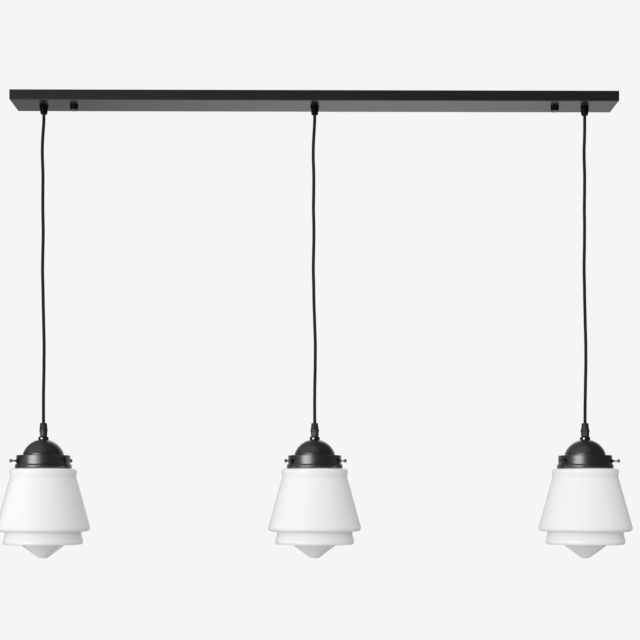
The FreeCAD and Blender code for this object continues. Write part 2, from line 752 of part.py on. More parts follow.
def bulb(side):
    """The bulb's screw base and its glass, face to face."""
    x = pendant_x(side)
    base_low = BULB_TOP - BULB_BASE_LENGTH
    low = BULB_TOP - BULB_LENGTH
    radius = BULB_DIAMETER / 2
    base = rod(BULB_BASE_DIAMETER / 2, base_low, BULB_TOP, x)
    outline = [
        (0, base_low),
        (radius - BULB_BEVEL, base_low),
        (radius, base_low - BULB_BEVEL),
        (radius, low + BULB_BEVEL),
        (radius - BULB_BEVEL, low),
        (0, low),
    ]
    return joined([base, lathe(outline, x)])


def glass_shade(side):
    neck = NECK_DIAMETER / 2
    lip = LIP_DIAMETER / 2
    shoulder = SHOULDER_DIAMETER / 2
    waist = WAIST_DIAMETER / 2
    widest = SHADE_DIAMETER / 2
    edge = SHADE_EDGE_RADIUS
    tier_top = TIER_TOP_DIAMETER / 2
    tier = TIER_DIAMETER / 2
    finial = FINIAL_DIAMETER / 2
    tip = FINIAL_TIP_DIAMETER / 2
    wall = GLASS_WALL
    bore = neck - wall
    outside = [
        (bore, LIP_TOP),
        (lip, LIP_TOP),
        (lip, LIP_BOTTOM),
        (neck, LIP_BOTTOM),
        (neck, SHOULDER_TOP),
    ]
    outside += round_points(
        shoulder - SHOULDER_RADIUS, SHOULDER_TOP - SHOULDER_RADIUS, SHOULDER_RADIUS, 90, 0, ROUND_FACE_COUNT
    )
    outside += [(shoulder, SHOULDER_BOTTOM), (waist, WAIST)]
    outside += round_points(widest - edge, EDGE_TOP, edge, 0, -90, ROUND_FACE_COUNT)
    outside += [
        (tier_top, SHADE_STEP),
        (tier, SHADE_STEP - TIER_FLARE_HEIGHT),
        (tier, TIER_BOTTOM + TIER_BEVEL),
        (tier - TIER_BEVEL, TIER_BOTTOM),
        (finial, TIER_BOTTOM),
        (tip, TIP),
        (0, TIP),
    ]
    inside = [
        (0, TIP + wall),
        (tip - wall / 2, TIP + wall),
        (finial - wall, TIER_BOTTOM + wall),
        (tier_top - wall, TIER_BOTTOM + wall),
        (tier_top - wall, SHADE_STEP + wall),
        (widest - 1.5 * wall, SHADE_STEP + wall),
        (waist - wall, WAIST),
        (waist - wall, SHOULDER_TOP - wall),
        (bore, SHOULDER_TOP - wall),
    ]
    return lathe(outside + inside, pendant_x(side))


def save(name, shape):
    if not shape.isValid():
        raise ValueError(name + " is not a valid solid")
    shape.exportStep("parts/" + name + ".step")


def main():
    os.makedirs("parts", exist_ok=True)
    save("ceiling_bar", ceiling_bar())
    for side in ("left", "right"):
        save("ceiling_bracket_" + side, ceiling_bracket(side))
        save("cap_nut_" + side, cap_nut(side))
    save("bracket_studs", bracket_studs())
    save("terminal_block", terminal_block())
    save("terminal_screws", terminal_screws())
    save("terminal_block_fixings", terminal_block_fixings())
    save("earth_fixings", earth_fixings())
    save("earth_lead", earth_lead())
    save("upper_grip_bodies", upper_grip_bodies())
    save("upper_grip_caps", upper_grip_caps())
    save("upper_grip_locknuts", upper_grip_locknuts())
    save("cord_tails", cord_tails())
    for side in SIDES:
        save("cord_top_" + side, cord_top(side))
        save("cord_" + side, cord(side))
        save("lower_grip_cap_" + side, lower_grip_cap(side))
        save("lower_grip_body_" + side, lower_grip_body(side))
        save("collar_ring_" + side, collar_ring(side))
        save("nipple_" + side, nipple(side))
        save("gallery_" + side, gallery(side))
        for index in range(SCREW_COUNT):
            save("thumb_screw_" + side + "_" + str(index + 1), thumb_screw(side, index))
        save("lampholder_housing_" + side, lampholder_housing(side))
        save("lampholder_insert_" + side, lampholder_insert(side))
        save("bulb_" + side, bulb(side))
        save("glass_shade_" + side, glass_shade(side))


main()
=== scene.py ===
import json
import math

import bmesh
import bpy
from mathutils import Matrix, Vector

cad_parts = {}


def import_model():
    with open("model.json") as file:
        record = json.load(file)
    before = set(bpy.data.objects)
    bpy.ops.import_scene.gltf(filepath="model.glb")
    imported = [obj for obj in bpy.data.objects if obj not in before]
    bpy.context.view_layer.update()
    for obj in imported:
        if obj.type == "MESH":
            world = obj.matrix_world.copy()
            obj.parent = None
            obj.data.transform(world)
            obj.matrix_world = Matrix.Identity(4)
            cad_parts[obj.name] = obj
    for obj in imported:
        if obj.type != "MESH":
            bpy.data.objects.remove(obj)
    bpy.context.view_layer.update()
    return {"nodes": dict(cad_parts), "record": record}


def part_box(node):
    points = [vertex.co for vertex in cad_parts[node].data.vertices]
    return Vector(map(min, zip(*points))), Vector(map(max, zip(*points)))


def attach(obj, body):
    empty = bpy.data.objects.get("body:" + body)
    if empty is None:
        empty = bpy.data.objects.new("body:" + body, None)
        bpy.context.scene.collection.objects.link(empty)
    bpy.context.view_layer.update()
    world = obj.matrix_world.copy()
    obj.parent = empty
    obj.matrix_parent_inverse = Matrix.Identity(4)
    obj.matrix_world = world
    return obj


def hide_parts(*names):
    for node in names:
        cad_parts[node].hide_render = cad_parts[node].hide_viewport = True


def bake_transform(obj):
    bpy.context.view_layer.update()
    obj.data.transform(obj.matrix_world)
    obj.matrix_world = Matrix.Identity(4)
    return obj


# A linear island pendant: a black bar against the ceiling with three opal glass shades on textile cords.
# Sizes are written in millimetres and turned into metres by MM. Z is 0 at the ceiling.
MM = 0.001

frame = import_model()

SIDES = ("left", "middle", "right")
CAP_NUT_SIDES = ("left", "right")
SCREWS_PER_GALLERY = 3

# Camera, fitted to the photograph's bar corners, cords and shade outlines
CAMERA_PLACE = (-11.7, -2875.0, -868.0)
CAMERA_YAW = -0.46
CAMERA_PITCH = 0.34
CAMERA_LENS = 74.87
CAMERA_SENSOR = 36.0
CAMERA_SHIFT_Y = 0.2646
CAMERA_CLIP_END = 100000.0

# Steps in the turn of round pieces and in a fillet, and the radius below which a ring is one point
FINE_TURN = 144
SMALL_TURN = 64
ARC_STEPS = 6
STEPS_PER_KNURL = 4
POINT_RADIUS = 1e-6

# Angles in degrees from which an edge is shaded sharp
SHARP_ANGLE = 50.0
CORD_SHARP_ANGLE = 40.0
ROUND_SHARP_ANGLE = 60.0

# Fillets of edges that are only broken
CRISP_EDGE = 0.2
BROKEN_EDGE = 0.5

# Cords: each route is listed as (fall, drift in x, drift in y) from the upper grip's mouth
CORD_RADIUS = 3.4
CORD_START_INSET = 3.2
CORD_RING_STEP = 2.0
CORD_SIDES = 24
CORD_LOBES = 3
CORD_LOBE_DEPTH = 0.10
CORD_LOBE_PITCH = 62.0
CORD_CURVE_STEPS = 12
CORD_ROUTES = {
    "left": [
        (22, -0.3, 0.0), (46, -2.3, 0.4), (72, -3.7, 0.9), (98, -3.2, 0.6), (128, -1.8, -0.2),
        (160, -1.8, -0.7), (196, -2.3, -0.4), (232, -1.6, 0.5), (268, -1.3, 0.9), (304, -2.2, 0.5),
        (338, -2.6, -0.3), (374, -1.5, -0.9), (410, -0.8, -0.6), (446, -0.2, 0.2), (482, 0.7, 0.7),
        (518, 1.0, 0.4), (554, 0.7, -0.2), (590, 0.2, -0.5), (624, -0.3, -0.2), (652, 0.0, 0.0),
    ],
    "middle": [
        (22, -0.3, 0.0), (48, -2.2, -0.5), (74, -3.3, -0.9), (100, -3.1, -0.4), (130, -2.0, 0.3),
        (164, -2.1, 0.8), (198, -2.9, 0.5), (234, -2.0, -0.4), (270, -1.7, -0.8), (306, -2.8, -0.4),
        (336, -3.1, 0.3), (372, -2.2, 0.8), (408, -1.7, 0.5), (444, -0.4, -0.1), (480, 0.9, -0.6),
        (516, 1.4, -0.4), (552, 0.9, 0.2), (588, 0.2, 0.6), (622, -0.3, 0.2), (652, 0.0, 0.0),
    ],
    "right": [
        (22, 0.2, 0.1), (50, -0.3, 0.7), (76, -1.2, 0.8), (104, -1.1, 0.1), (132, -0.1, -0.6),
        (166, -0.6, -0.8), (200, -1.0, -0.1), (238, -0.4, 0.7), (272, -0.4, 0.8), (308, -1.4, 0.1),
        (340, -1.8, -0.6), (376, -0.9, -0.8), (412, -0.3, -0.2), (448, 0.7, 0.5), (484, 1.7, 0.7),
        (520, 2.1, 0.1), (556, 1.5, -0.5), (592, 0.8, -0.5), (626, 0.2, 0.0), (652, 0.0, 0.0),
    ],
}

# Braid of the cords' sleeve
BRAID_STRANDS = 12
BRAID_PITCH = 2.4

# Gallery: a dome, its upright foot, a flat step, the band and a rolled bead
SHEET = 1.0
SPUN_FILLET = 0.8
DOME_RADIUS = 45.9
DOME_HEIGHT = 32.5
DOME_FOOT = 4.2
DOME_LIFT = 0.9
DOME_STEPS = 28
DOME_INNER_STEPS = 20
DOME_OVERRUN_TURN = 1.5
BAND_RADIUS = 57.3
BAND_HEIGHT = 19.2
BAND_FILLET = 1.3
BEAD_RADIUS = 60.6
BEAD_FILLET = 4.0
BEAD_TOP_INSET = 1.2
BEAD_BOTTOM_INSET = 0.6
BEAD_BOTTOM_FILLET = 1.1
RIM_FILLET = 0.4
THREAD_HOLE_RADIUS = 5.1
BOSS_RADIUS = 4.9
BOSS_HEIGHT = 3.2
BOSS_FILLET = 2.6
BOSS_CLEARANCE = 0.15

# Thumb screws, in the gallery's band: lengths are from the gallery's axis outwards
SCREW_TURN = -27.3
SCREW_DROP = 12.6
SHAFT_RADIUS = 1.5
SHAFT_START = 50.25
SHAFT_TIP_BEVEL = 0.4
SHAFT_TIP_LENGTH = 0.8
LOCK_RING_RADIUS = 2.7
LOCK_RING_START = 61.2
LOCK_RING_END = 64.3
LOCK_RING_INNER_FILLET = 0.6
LOCK_RING_OUTER_FILLET = 0.9
KNOB_RADIUS = 3.9
KNOB_LENGTH = 5.0
KNOB_END = 75.9
KNOB_ROOT = 0.2
KNOB_FILLET = 0.3
KNOB_BEVEL = 0.9
KNOB_BEVEL_FILLET = 0.4
KNOB_KNURLS = 24
KNOB_KNURL_DEPTH = 0.12
KNOB_FLANK_START = 1.6
KNOB_KNURL_END = 1.6
KNOB_CROWN_START = 1.8
KNOB_CROWN_FILLET = 0.7
KNOB_CROWN_INSET = 1.1
KNOB_CROWN_HEIGHT = 0.5
KNOB_CROWN_RIM_FILLET = 0.9

# Collar ring between the lower grip and the dome
COLLAR_FILLET = 2.4

# Glass shade, from the lip down to the tip
GLASS_WALL = 3.2
LIP_RADIUS = 52.5
LIP_HEIGHT = 5.0
LIP_FILLET = 1.2
LIP_SLOPE = 0.8
LIP_UNDER_FILLET = 1.0
LIP_ABOVE_SHOULDER = 18.1
NECK_RADIUS = 49.75
NECK_TOP_FILLET = 0.4
NECK_FOOT_FILLET = 1.6
SHOULDER_RADIUS = 72.8
SHOULDER_FILLET = 6.0
WAIST_RADIUS = 70.0
WAIST_DROP = 19.2
WAIST_FILLET = 5.0
CONE_TOP_RADIUS = 72.6
CONE_TOP_DROP = 25.9
CONE_TOP_FILLET = 9.0
SHADE_RADIUS = 102.6
SHADE_EDGE_FILLET = 7.5
STEP_HEIGHT = 57.7
TIER_TOP_RADIUS = 82.2
TIER_TOP_FILLET = 1.8
TIER_WAIST_RADIUS = 81.2
TIER_WAIST_FILLET = 6.0
TIER_WAIST_SHARE = 0.35
TIER_RADIUS = 85.0
TIER_FLARE = 18.0
TIER_FLARE_OVERRUN = 2.0
TIER_FLARE_FILLET = 10.0
TIER_BEVEL = 2.3
TIER_BEVEL_HEIGHT = 4.2
TIER_FILLET = 1.6
FINIAL_RADIUS = 49.0
FINIAL_HEIGHT = 29.7
FINIAL_ROOT_FILLET = 1.8
FINIAL_TIP_RADIUS = 8.5
FINIAL_TIP_FILLET = 1.6

# Inside of the shade, where it isn't the outside moved in by the wall
INNER_EDGE_WALLS = 1.5
INNER_EDGE_FILLET = 3.0
INNER_SHOULDER_FILLET = 4.0
INNER_NECK_FILLET = 1.5
INNER_STEP_FILLET = 2.0
INNER_TIER_FILLET = 3.0
INNER_FINIAL_FILLET = 1.5
INNER_TIP_FILLET = 1.0

# Cord grips, the same above and below: heights are from the ring's outer face towards the mouth
GRIP_TURN = -16.0
GRIP_CAP_SIDES = 12
GRIP_CAP_CORNER = 70.0
GRIP_CAP_BASE_RADIUS = 8.7
GRIP_CAP_MOUTH_RADIUS = 7.3
GRIP_CAP_MOUTH_FILLET = 1.6
GRIP_CAP_LENGTH = 14.0
GRIP_CAP_FLATS_WALL = 0.5
GRIP_BODY_SIDES = 6
GRIP_BODY_CORNER = 60.0
GRIP_RING_RADIUS = 10.0
GRIP_RING_HEIGHT = 4.6
GRIP_RING_LOWER_FILLET = 1.3
GRIP_RING_UPPER_FILLET = 1.5
GRIP_RING_FLATS_WALL = 1.5
BARREL_RADIUS = 9.2
BARREL_LENGTH = 10.9
BARREL_FOOT_INSET = 0.7
BARREL_FOOT_FILLET = 0.8
BARREL_NECK_LENGTH = 1.6
BARREL_NECK_FILLET = 1.0
BARREL_NECK_INSET = 0.1
BARREL_TOP_FILLET = 0.3
BORE_RADIUS = 3.9
MOUTH_RADIUS = 4.4
COLLET_RADIUS = 5.5
COLLET_LENGTH = 9.0
COLLET_FILLET = 0.8
COLLET_CLEARANCE = 0.2
POCKET_RADIUS = 5.7
SPIGOT_RADIUS = 5.0
SPIGOT_LENGTH = 5.4
THREAD_PITCH = 1.0
THREAD_DEPTH = 0.5
THREAD_RUN_OUT = 0.2
THREAD_CREST_SHARE = 0.3
THREAD_ROOT_SHARE = 0.8
NIPPLE_DEPTH = 6.1

# Knurled cap nuts under the bar
CAP_NUT_RADIUS = 9.0
CAP_NUT_TOP_FILLET = 0.5
CAP_NUT_WAIST_RADIUS = 8.2
CAP_NUT_WAIST_STEP = 0.4
CAP_NUT_WAIST_LOWER_FILLET = 0.6
CAP_NUT_WAIST_UPPER_FILLET = 0.4
CAP_NUT_RIM_RADIUS = 9.2
CAP_NUT_RIM_HEIGHT = 1.9
CAP_NUT_RIM_LOWER_FILLET = 0.6
CAP_NUT_RIM_UPPER_FILLET = 0.5
CAP_NUT_DISH_INSET = 2.2
CAP_NUT_DISH_DEPTH = 0.3
CAP_NUT_DISH_FILLET = 1.5
CAP_NUT_BORE_RADIUS = 2.6
CAP_NUT_BORE_DEPTH = 7.1
CAP_NUT_BORE_FILLET = 0.3
CAP_NUT_KNURL_HEIGHT = 4.8
CAP_NUT_KNURL_FILLET = 0.3
CAP_NUT_KNURL_LOWER_MARGIN = 0.1
CAP_NUT_KNURL_UPPER_MARGIN = 0.2
CAP_NUT_KNURLS = 36
CAP_NUT_KNURL_DEPTH = 0.3

# Stage and light, where START, MIDDLE, FULL and END values are parts of a direction of length 1
BACKDROP = (0.913, 0.913, 0.913)
BACKDROP_MIDDLE = 0.06
BACKDROP_FULL = 0.07
BACKDROP_END = 0.28
BACKDROP_END_SHARE = 0.36
ROOM = (0.018, 0.018, 0.018)
ROOM_START = 0.92
ROOM_END = 0.50
ROOM_GLOW = 11.0
ROOM_GLOW_TOWARDS = (-0.60, -0.30, 0.74)
ROOM_GLOW_START = 0.50
ROOM_GLOW_END = 0.95
FLOOR_Z = -2500.0
FLOOR_SIZE = 2600.0
FLOOR_BOUNCE = (0.36, 0.36, 0.34)
FLOOR_ROUGHNESS = 0.9
WORLD_STRENGTH = 0.725
FRONT_SHARE = 0.28
FRONT_TURN = 40.0

# Blue of the black nylon, as a multiple of its red and green
NYLON_BLUE = 1.03

# Sockets of a mix node that mixes colours
MIX_FACTOR = 0
MIX_FIRST = 6
MIX_SECOND = 7
MIX_RESULT = 2

# Soft lights: name, place, width, height and power in watts
LIGHT_TARGET = (0, 0, -750)
LIGHTS = (
    ("key", (-4870, -6345, -750), 4900, 2300, 175),
    ("strip", (-1290, -4830, -780), 900, 700, 6),
)


# Outlines


def rounded(corners):
    """Points of an outline through (radius, height, fillet) corners, with the fillets as short arcs."""
    points = []
    count = len(corners)
    for index in range(count):
        here = Vector(corners[index][:2])
        fillet = corners[index][2]
        before = Vector(corners[index - 1][:2])
        after = Vector(corners[(index + 1) % count][:2])
        if fillet == 0:
            points.append(here)
            continue
        incoming = (before - here).normalized()
        outgoing = (after - here).normalized()
        opening = incoming.angle(outgoing)
        reach = fillet / math.tan(opening / 2)
        centre = here + (incoming + outgoing).normalized() * (fillet / math.sin(opening / 2))
        start = here + incoming * reach - centre
        turn = (math.pi - opening) / ARC_STEPS
        if incoming.x * outgoing.y - incoming.y * outgoing.x > 0:
            turn = -turn
        for step in range(ARC_STEPS + 1):
            angle = turn * step
            x = start.x * math.cos(angle) - start.y * math.sin(angle)
            y = start.x * math.sin(angle) + start.y * math.cos(angle)
            points.append(centre + Vector((x, y)))
    return points


def arc(centre, radius, first, last, steps):
    """Points of an arc about a (radius, height) centre, between two angles in degrees."""
    points = []
    for step in range(steps + 1):
        angle = math.radians(first + (last - first) * step / steps)
        points.append(Vector((centre[0] + radius * math.cos(angle), centre[1] + radius * math.sin(angle))))
    return points


# Meshes


def new_object(name, vertices, faces, sharp=SHARP_ANGLE):
    """An object with outward faces, shaded smooth up to the sharp angle."""
    mesh = bpy.data.meshes.new(name)
    mesh.from_pydata([tuple(Vector(v) * MM) for v in vertices], [], faces)
    mesh.validate()
    outwards = bmesh.new()
    outwards.from_mesh(mesh)
    bmesh.ops.recalc_face_normals(outwards, faces=outwards.faces)
    outwards.to_mesh(mesh)
    outwards.free()
    mesh.shade_smooth()
    obj = bpy.data.objects.new(name, mesh)
    bpy.context.collection.objects.link(obj)
    mesh.set_sharp_from_angle(angle=math.radians(sharp))
    return obj


def flat_factors(sides, corner, turns):
    """How far a regular outline reaches at each step of a turn, as a share of its corners' distance.

    The corners are softer for a lower corner value."""
    flat = math.cos(math.pi / sides)
    factors = []
    for step in range(turns):
        total = 0.0
        for side in range(sides):
            towards = math.cos(2 * math.pi * (step / turns - (side + 0.5) / sides)) / flat
            total += max(0.0, towards) ** corner
        factors.append(total ** (-1 / corner))
    return factors


def lathe(outline, turns, closed=True, knurl=None, flats=None):
    """Vertices and faces of an outline of (radius, height) turned about the Z axis.

    With a knurl of (count, depth, low, high), points between the two heights get that many grooves.
    With flats of (sides, corner, least radius), points from that radius outwards follow a soft polygon."""
    factors = flat_factors(flats[0], flats[1], turns) if flats else None
    vertices = []
    rings = []
    for radius, height in outline:
        if radius < POINT_RADIUS:
            rings.append([len(vertices)] * turns)
            vertices.append((0, 0, height))
            continue
        ring = []
        for step in range(turns):
            angle = 2 * math.pi * step / turns
            reach = radius
            if knurl and knurl[2] <= height <= knurl[3]:
                reach -= knurl[1] * (0.5 - 0.5 * math.cos(knurl[0] * angle)) ** 2
            if flats and radius >= flats[2]:
                reach *= factors[step]
            ring.append(len(vertices))
            vertices.append((reach * math.cos(angle), reach * math.sin(angle), height))
        rings.append(ring)
    faces = []
    pairs = list(zip(rings, rings[1:]))
    if closed:
        pairs.append((rings[-1], rings[0]))
    for low, high in pairs:
        for step in range(turns):
            after = (step + 1) % turns
            corners = [low[step], low[after], high[after], high[step]]
            face = [c for i, c in enumerate(corners) if c != corners[i - 1]]
            if len(face) > 2:
                faces.append(face)
    return vertices, faces


def placed(vertices, x, z=0.0, matrix=None):
    """The vertices turned by the matrix, if there is one, and then moved."""
    moved = [matrix @ Vector(v) for v in vertices] if matrix else [Vector(v) for v in vertices]
    return [v + Vector((x, 0, z)) for v in moved]


def merged(parts):
    """One list of vertices and faces from several."""
    vertices = []
    faces = []
    for part_vertices, part_faces in parts:
        offset = len(vertices)
        vertices += list(part_vertices)
        faces += [[corner + offset for corner in face] for face in part_faces]
    return vertices, faces


def node_box(node):
    """Lowest and highest corner of a CAD node and its middle, in millimetres."""
    low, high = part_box(node)
    low = Vector(low) / MM
    high = Vector(high) / MM
    return low, high, (low + high) / 2


def finish_piece(obj, body, node, material):
    """Puts a piece on its body in place of its node, with its material."""
    obj.data.materials.clear()
    obj.data.materials.append(material)
    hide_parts(node)
    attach(obj, body)


# Node trees


class NodeTree:
    """Short calls for the nodes of a material or a world."""

    def __init__(self, owner):
        owner.use_nodes = True
        self.nodes = owner.node_tree.nodes
        self.links = owner.node_tree.links

    def feed(self, socket, value):
        """Links a node's output to the socket, or gives the socket a plain value."""
        if isinstance(value, bpy.types.NodeSocket):
            self.links.new(value, socket)
        else:
            socket.default_value = value

    def output(self, kind, name):
        return self.nodes.new(kind).outputs[name]

    def maths(self, operation, first, second=0.0, third=0.0):
        node = self.nodes.new("ShaderNodeMath")
        node.operation = operation
        for socket, value in zip(node.inputs, (first, second, third)):
            self.feed(socket, value)
        return node.outputs[0]

    def spread(self, value, low, high, from_low=0.3, from_high=0.7, smooth=False):
        """The value's stretch between from_low and from_high, mapped to low and high and held there."""
        node = self.nodes.new("ShaderNodeMapRange")
        if smooth:
            node.interpolation_type = "SMOOTHSTEP"
        node.inputs["From Min"].default_value = from_low
        node.inputs["From Max"].default_value = from_high
        node.inputs["To Min"].default_value = low
        node.inputs["To Max"].default_value = high
        self.links.new(value, node.inputs["Value"])
        return node.outputs["Result"]

    def share_along(self, vector, direction):
        """How far the vector points in the direction, from -1 to 1."""
        node = self.nodes.new("ShaderNodeVectorMath")
        node.operation = "DOT_PRODUCT"
        self.links.new(vector, node.inputs[0])
        node.inputs[1].default_value = direction
        return node.outputs["Value"]

    def background(self, colour, strength=1.0):
        node = self.nodes.new("ShaderNodeBackground")
        node.inputs["Color"].default_value = (*colour, 1.0)
        self.feed(node.inputs["Strength"], strength)
        return node.outputs[0]

    def mixed_shader(self, factor, first, second):
        node = self.nodes.new("ShaderNodeMixShader")
        for socket, value in zip(node.inputs, (factor, first, second)):
            self.links.new(value, socket)
        return node.outputs[0]


class Shader(NodeTree):
    """A Principled material with short calls for the nodes that it takes."""

    def __init__(self, name, **values):
        self.material = bpy.data.materials.new(name)
        super().__init__(self.material)
        self.bsdf = self.nodes["Principled BSDF"]
        self.place = self.output("ShaderNodeTexCoord", "Object")
        self.normal = None
        inputs = {socket.name.lower(): socket for socket in self.bsdf.inputs}
        for key, value in values.items():
            inputs[key.replace("_", " ")].default_value = value

    def scaled(self, stretch):
        mapping = self.nodes.new("ShaderNodeMapping")
        mapping.inputs["Scale"].default_value = stretch
        self.links.new(self.place, mapping.inputs["Vector"])
        return mapping.outputs["Vector"]

    def noise(self, scale, detail, roughness=0.6, place=None):
        node = self.nodes.new("ShaderNodeTexNoise")
        node.inputs["Scale"].default_value = scale
        node.inputs["Detail"].default_value = detail
        node.inputs["Roughness"].default_value = roughness
        self.links.new(place or self.place, node.inputs["Vector"])
        return node.outputs["Fac"]

    def colour(self, factor, first, second):
        """Varies the base colour between the first and the second."""
        node = self.nodes.new("ShaderNodeMix")
        node.data_type = "RGBA"
        node.inputs[MIX_FIRST].default_value = (*first, 1.0)
        node.inputs[MIX_SECOND].default_value = (*second, 1.0)
        self.links.new(factor, node.inputs[MIX_FACTOR])
        self.links.new(node.outputs[MIX_RESULT], self.bsdf.inputs["Base Color"])

    def roughness(self, value, low, high):
        self.links.new(self.spread(value, low, high), self.bsdf.inputs["Roughness"])

    def bump(self, height, strength, distance):
        """A bump of that many millimetres, on top of the bumps that the material has."""
        node = self.nodes.new("ShaderNodeBump")
        node.inputs["Strength"].default_value = strength
        node.inputs["Distance"].default_value = distance * MM
        self.links.new(height, node.inputs["Height"])
        if self.normal:
            self.links.new(self.normal, node.inputs["Normal"])
        self.normal = node.outputs["Normal"]
        self.links.new(self.normal, self.bsdf.inputs["Normal"])


# Materials


def powder_coat():
    """Matt black powder coat with its fine orange-peel texture."""
    shader = Shader("powder_coat", specular_ior_level=0.8)
    shader.colour(shader.noise(38, detail=3), (0.0100, 0.0101, 0.0104), (0.0130, 0.0131, 0.0134))
    shader.roughness(shader.noise(900, detail=3), low=0.30, high=0.38)
    shader.bump(shader.noise(1700, detail=3, roughness=0.5), strength=0.35, distance=0.05)
    return shader.material


def satin_metal():
    """Satin black lacquer over spun metal, with the spinning's faint rings."""
    shader = Shader(
        "satin_black", ior=1.6, specular_ior_level=1.0, coat_weight=1.0, coat_ior=2.4, coat_roughness=0.31
    )
    shader.colour(shader.noise(60, detail=3), (0.0025, 0.0025, 0.0027), (0.0038, 0.0038, 0.0040))
    rings = shader.noise(1.0, detail=2, roughness=0.5, place=shader.scaled((6, 6, 900)))
    shader.roughness(rings, low=0.30, high=0.38)
    shader.bump(rings, strength=0.10, distance=0.03)
    shader.bump(shader.noise(1500, detail=2, roughness=0.5), strength=0.12, distance=0.02)
    return shader.material


def gloss_metal():
    """Glossy black of the collar rings."""
    shader = Shader(
        "gloss_black", specular_ior_level=1.0, coat_weight=1.0, coat_ior=2.4, coat_roughness=0.08
    )
    shader.colour(shader.noise(90, detail=2), (0.006, 0.006, 0.0064), (0.009, 0.009, 0.0095))
    shader.roughness(shader.noise(260, detail=3), low=0.12, high=0.20)
    shader.bump(shader.noise(420, detail=2), strength=0.06, distance=0.02)
    return shader.material


def grip_plastic(name, specular, dark, light):
    """Black nylon with a fine spark-eroded surface."""
    shader = Shader(name, specular_ior_level=specular)
    dark_colour = (dark, dark, dark * NYLON_BLUE)
    light_colour = (light, light, light * NYLON_BLUE)
    shader.colour(shader.noise(120, detail=3), dark_colour, light_colour)
    shader.roughness(shader.noise(700, detail=3), low=0.30, high=0.42)
    shader.bump(shader.noise(2600, detail=3), strength=0.30, distance=0.03)
    return shader.material


def nut_coat_painted_shade():
    """Smooth black coat of the cap nuts and of the galleries' screw bosses.

    Painted darker and duller than the bar and the gallery: painted shade under the bar and at the screws.
    """
    shader = Shader("nut_coat_painted_shade", specular_ior_level=0.3)
    shader.colour(shader.noise(300, detail=3), (0.0020, 0.0020, 0.0021), (0.0030, 0.0030, 0.0032))
    shader.roughness(shader.noise(800, detail=3), low=0.22, high=0.30)
    shader.bump(shader.noise(1900, detail=2, roughness=0.5), strength=0.12, distance=0.02)
    return shader.material


def textile():
    """Black braided sleeve, woven by two waves that run round the cord in opposite ways.

    The cord's mesh has its share of a turn as U and its length in millimetres as V."""
    shader = Shader("textile_braid", sheen_weight=0.04, sheen_roughness=0.5, specular_ior_level=0.2)
    split = shader.nodes.new("ShaderNodeSeparateXYZ")
    shader.links.new(shader.output("ShaderNodeUVMap", "UV"), split.inputs["Vector"])
    around = shader.maths("MULTIPLY", split.outputs["X"], BRAID_STRANDS * 2 * math.pi)
    along = shader.maths("MULTIPLY", split.outputs["Y"], 2 * math.pi / BRAID_PITCH)
    first = shader.maths("SINE", shader.maths("ADD", around, along))
    second = shader.maths("SINE", shader.maths("SUBTRACT", around, along))
    height = shader.maths("MULTIPLY", shader.maths("MULTIPLY_ADD", first, second, 1.0), 0.5)
    # The colour is darker where the weave lies low: painted shade in the grooves of the braid.
    shader.colour(height, (0.0110, 0.0110, 0.0113), (0.0170, 0.0170, 0.0174))
    shader.roughness(shader.noise(1500, detail=3), low=0.66, high=0.86)
    shader.bump(height, strength=0.3, distance=0.12)
    shader.bump(shader.noise(5200, detail=3, roughness=0.7), strength=0.2, distance=0.03)
    return shader.material


def plain_textile():
    """The same sleeve on the cord ends inside the bar."""
    shader = Shader("textile_tail", sheen_weight=0.35, sheen_roughness=0.5, specular_ior_level=0.25)
    shader.colour(shader.noise(900, detail=3), (0.0080, 0.0080, 0.0084), (0.0260, 0.0260, 0.0270))
    shader.roughness(shader.noise(1500, detail=3), low=0.66, high=0.86)
    shader.bump(shader.noise(1300, detail=3, roughness=0.7), strength=0.6, distance=0.12)
    return shader.material


def opal_glass():
    """Glossy opal glass that scatters light a few millimetres deep, with faint waves from blowing."""
    shader = Shader(
        "opal_glass",
        specular_ior_level=0.15,
        subsurface_weight=0.35,
        subsurface_radius=(0.0030, 0.0029, 0.0026),
        subsurface_scale=1.0,
        coat_weight=0.3,
        coat_roughness=0.05,
    )
    shader.colour(shader.noise(14, detail=2), (0.893, 0.898, 0.895), (0.903, 0.908, 0.906))
    shader.roughness(shader.noise(70, detail=3), low=0.13, high=0.19)
    shader.bump(shader.noise(22, detail=2, roughness=0.4), strength=0.10, distance=0.35)
    return shader.material


def zinc_steel():
    """Zinc plated steel with its faint spangle."""
    shader = Shader("zinc_steel", metallic=1.0)
    shader.colour(shader.noise(160, detail=4), (0.50, 0.51, 0.52), (0.66, 0.67, 0.68))
    shader.roughness(shader.noise(420, detail=3), low=0.30, high=0.46)
    shader.bump(shader.noise(1400, detail=3), strength=0.15, distance=0.02)
    return shader.material


def brass():
    """Plain brass of the earth point."""
    shader = Shader("brass", metallic=1.0)
    shader.colour(shader.noise(220, detail=4), (0.62, 0.46, 0.22), (0.76, 0.60, 0.32))
    shader.roughness(shader.noise(500, detail=3), low=0.24, high=0.40)
    shader.bump(shader.noise(1500, detail=3), strength=0.12, distance=0.02)
    return shader.material


def white_plastic():
    """Satin white moulding of the terminal block."""
    shader = Shader("white_plastic", specular_ior_level=0.45)
    shader.colour(shader.noise(130, detail=3), (0.78, 0.77, 0.73), (0.84, 0.83, 0.80))
    shader.roughness(shader.noise(600, detail=3), low=0.34, high=0.46)
    shader.bump(shader.noise(2200, detail=3), strength=0.18, distance=0.03)
    return shader.material


def earth_insulation():
    """Green insulation with its yellow stripes."""
    shader = Shader("earth_insulation", specular_ior_level=0.4)
    stripes = shader.maths("SINE", shader.noise(240, detail=1, roughness=0.3))
    shader.colour(shader.spread(stripes, 0, 1, 0.42, 0.50), (0.05, 0.30, 0.06), (0.80, 0.66, 0.04))
    shader.roughness(shader.noise(500, detail=3), low=0.38, high=0.50)
    shader.bump(shader.noise(1500, detail=3), strength=0.15, distance=0.03)
    return shader.material


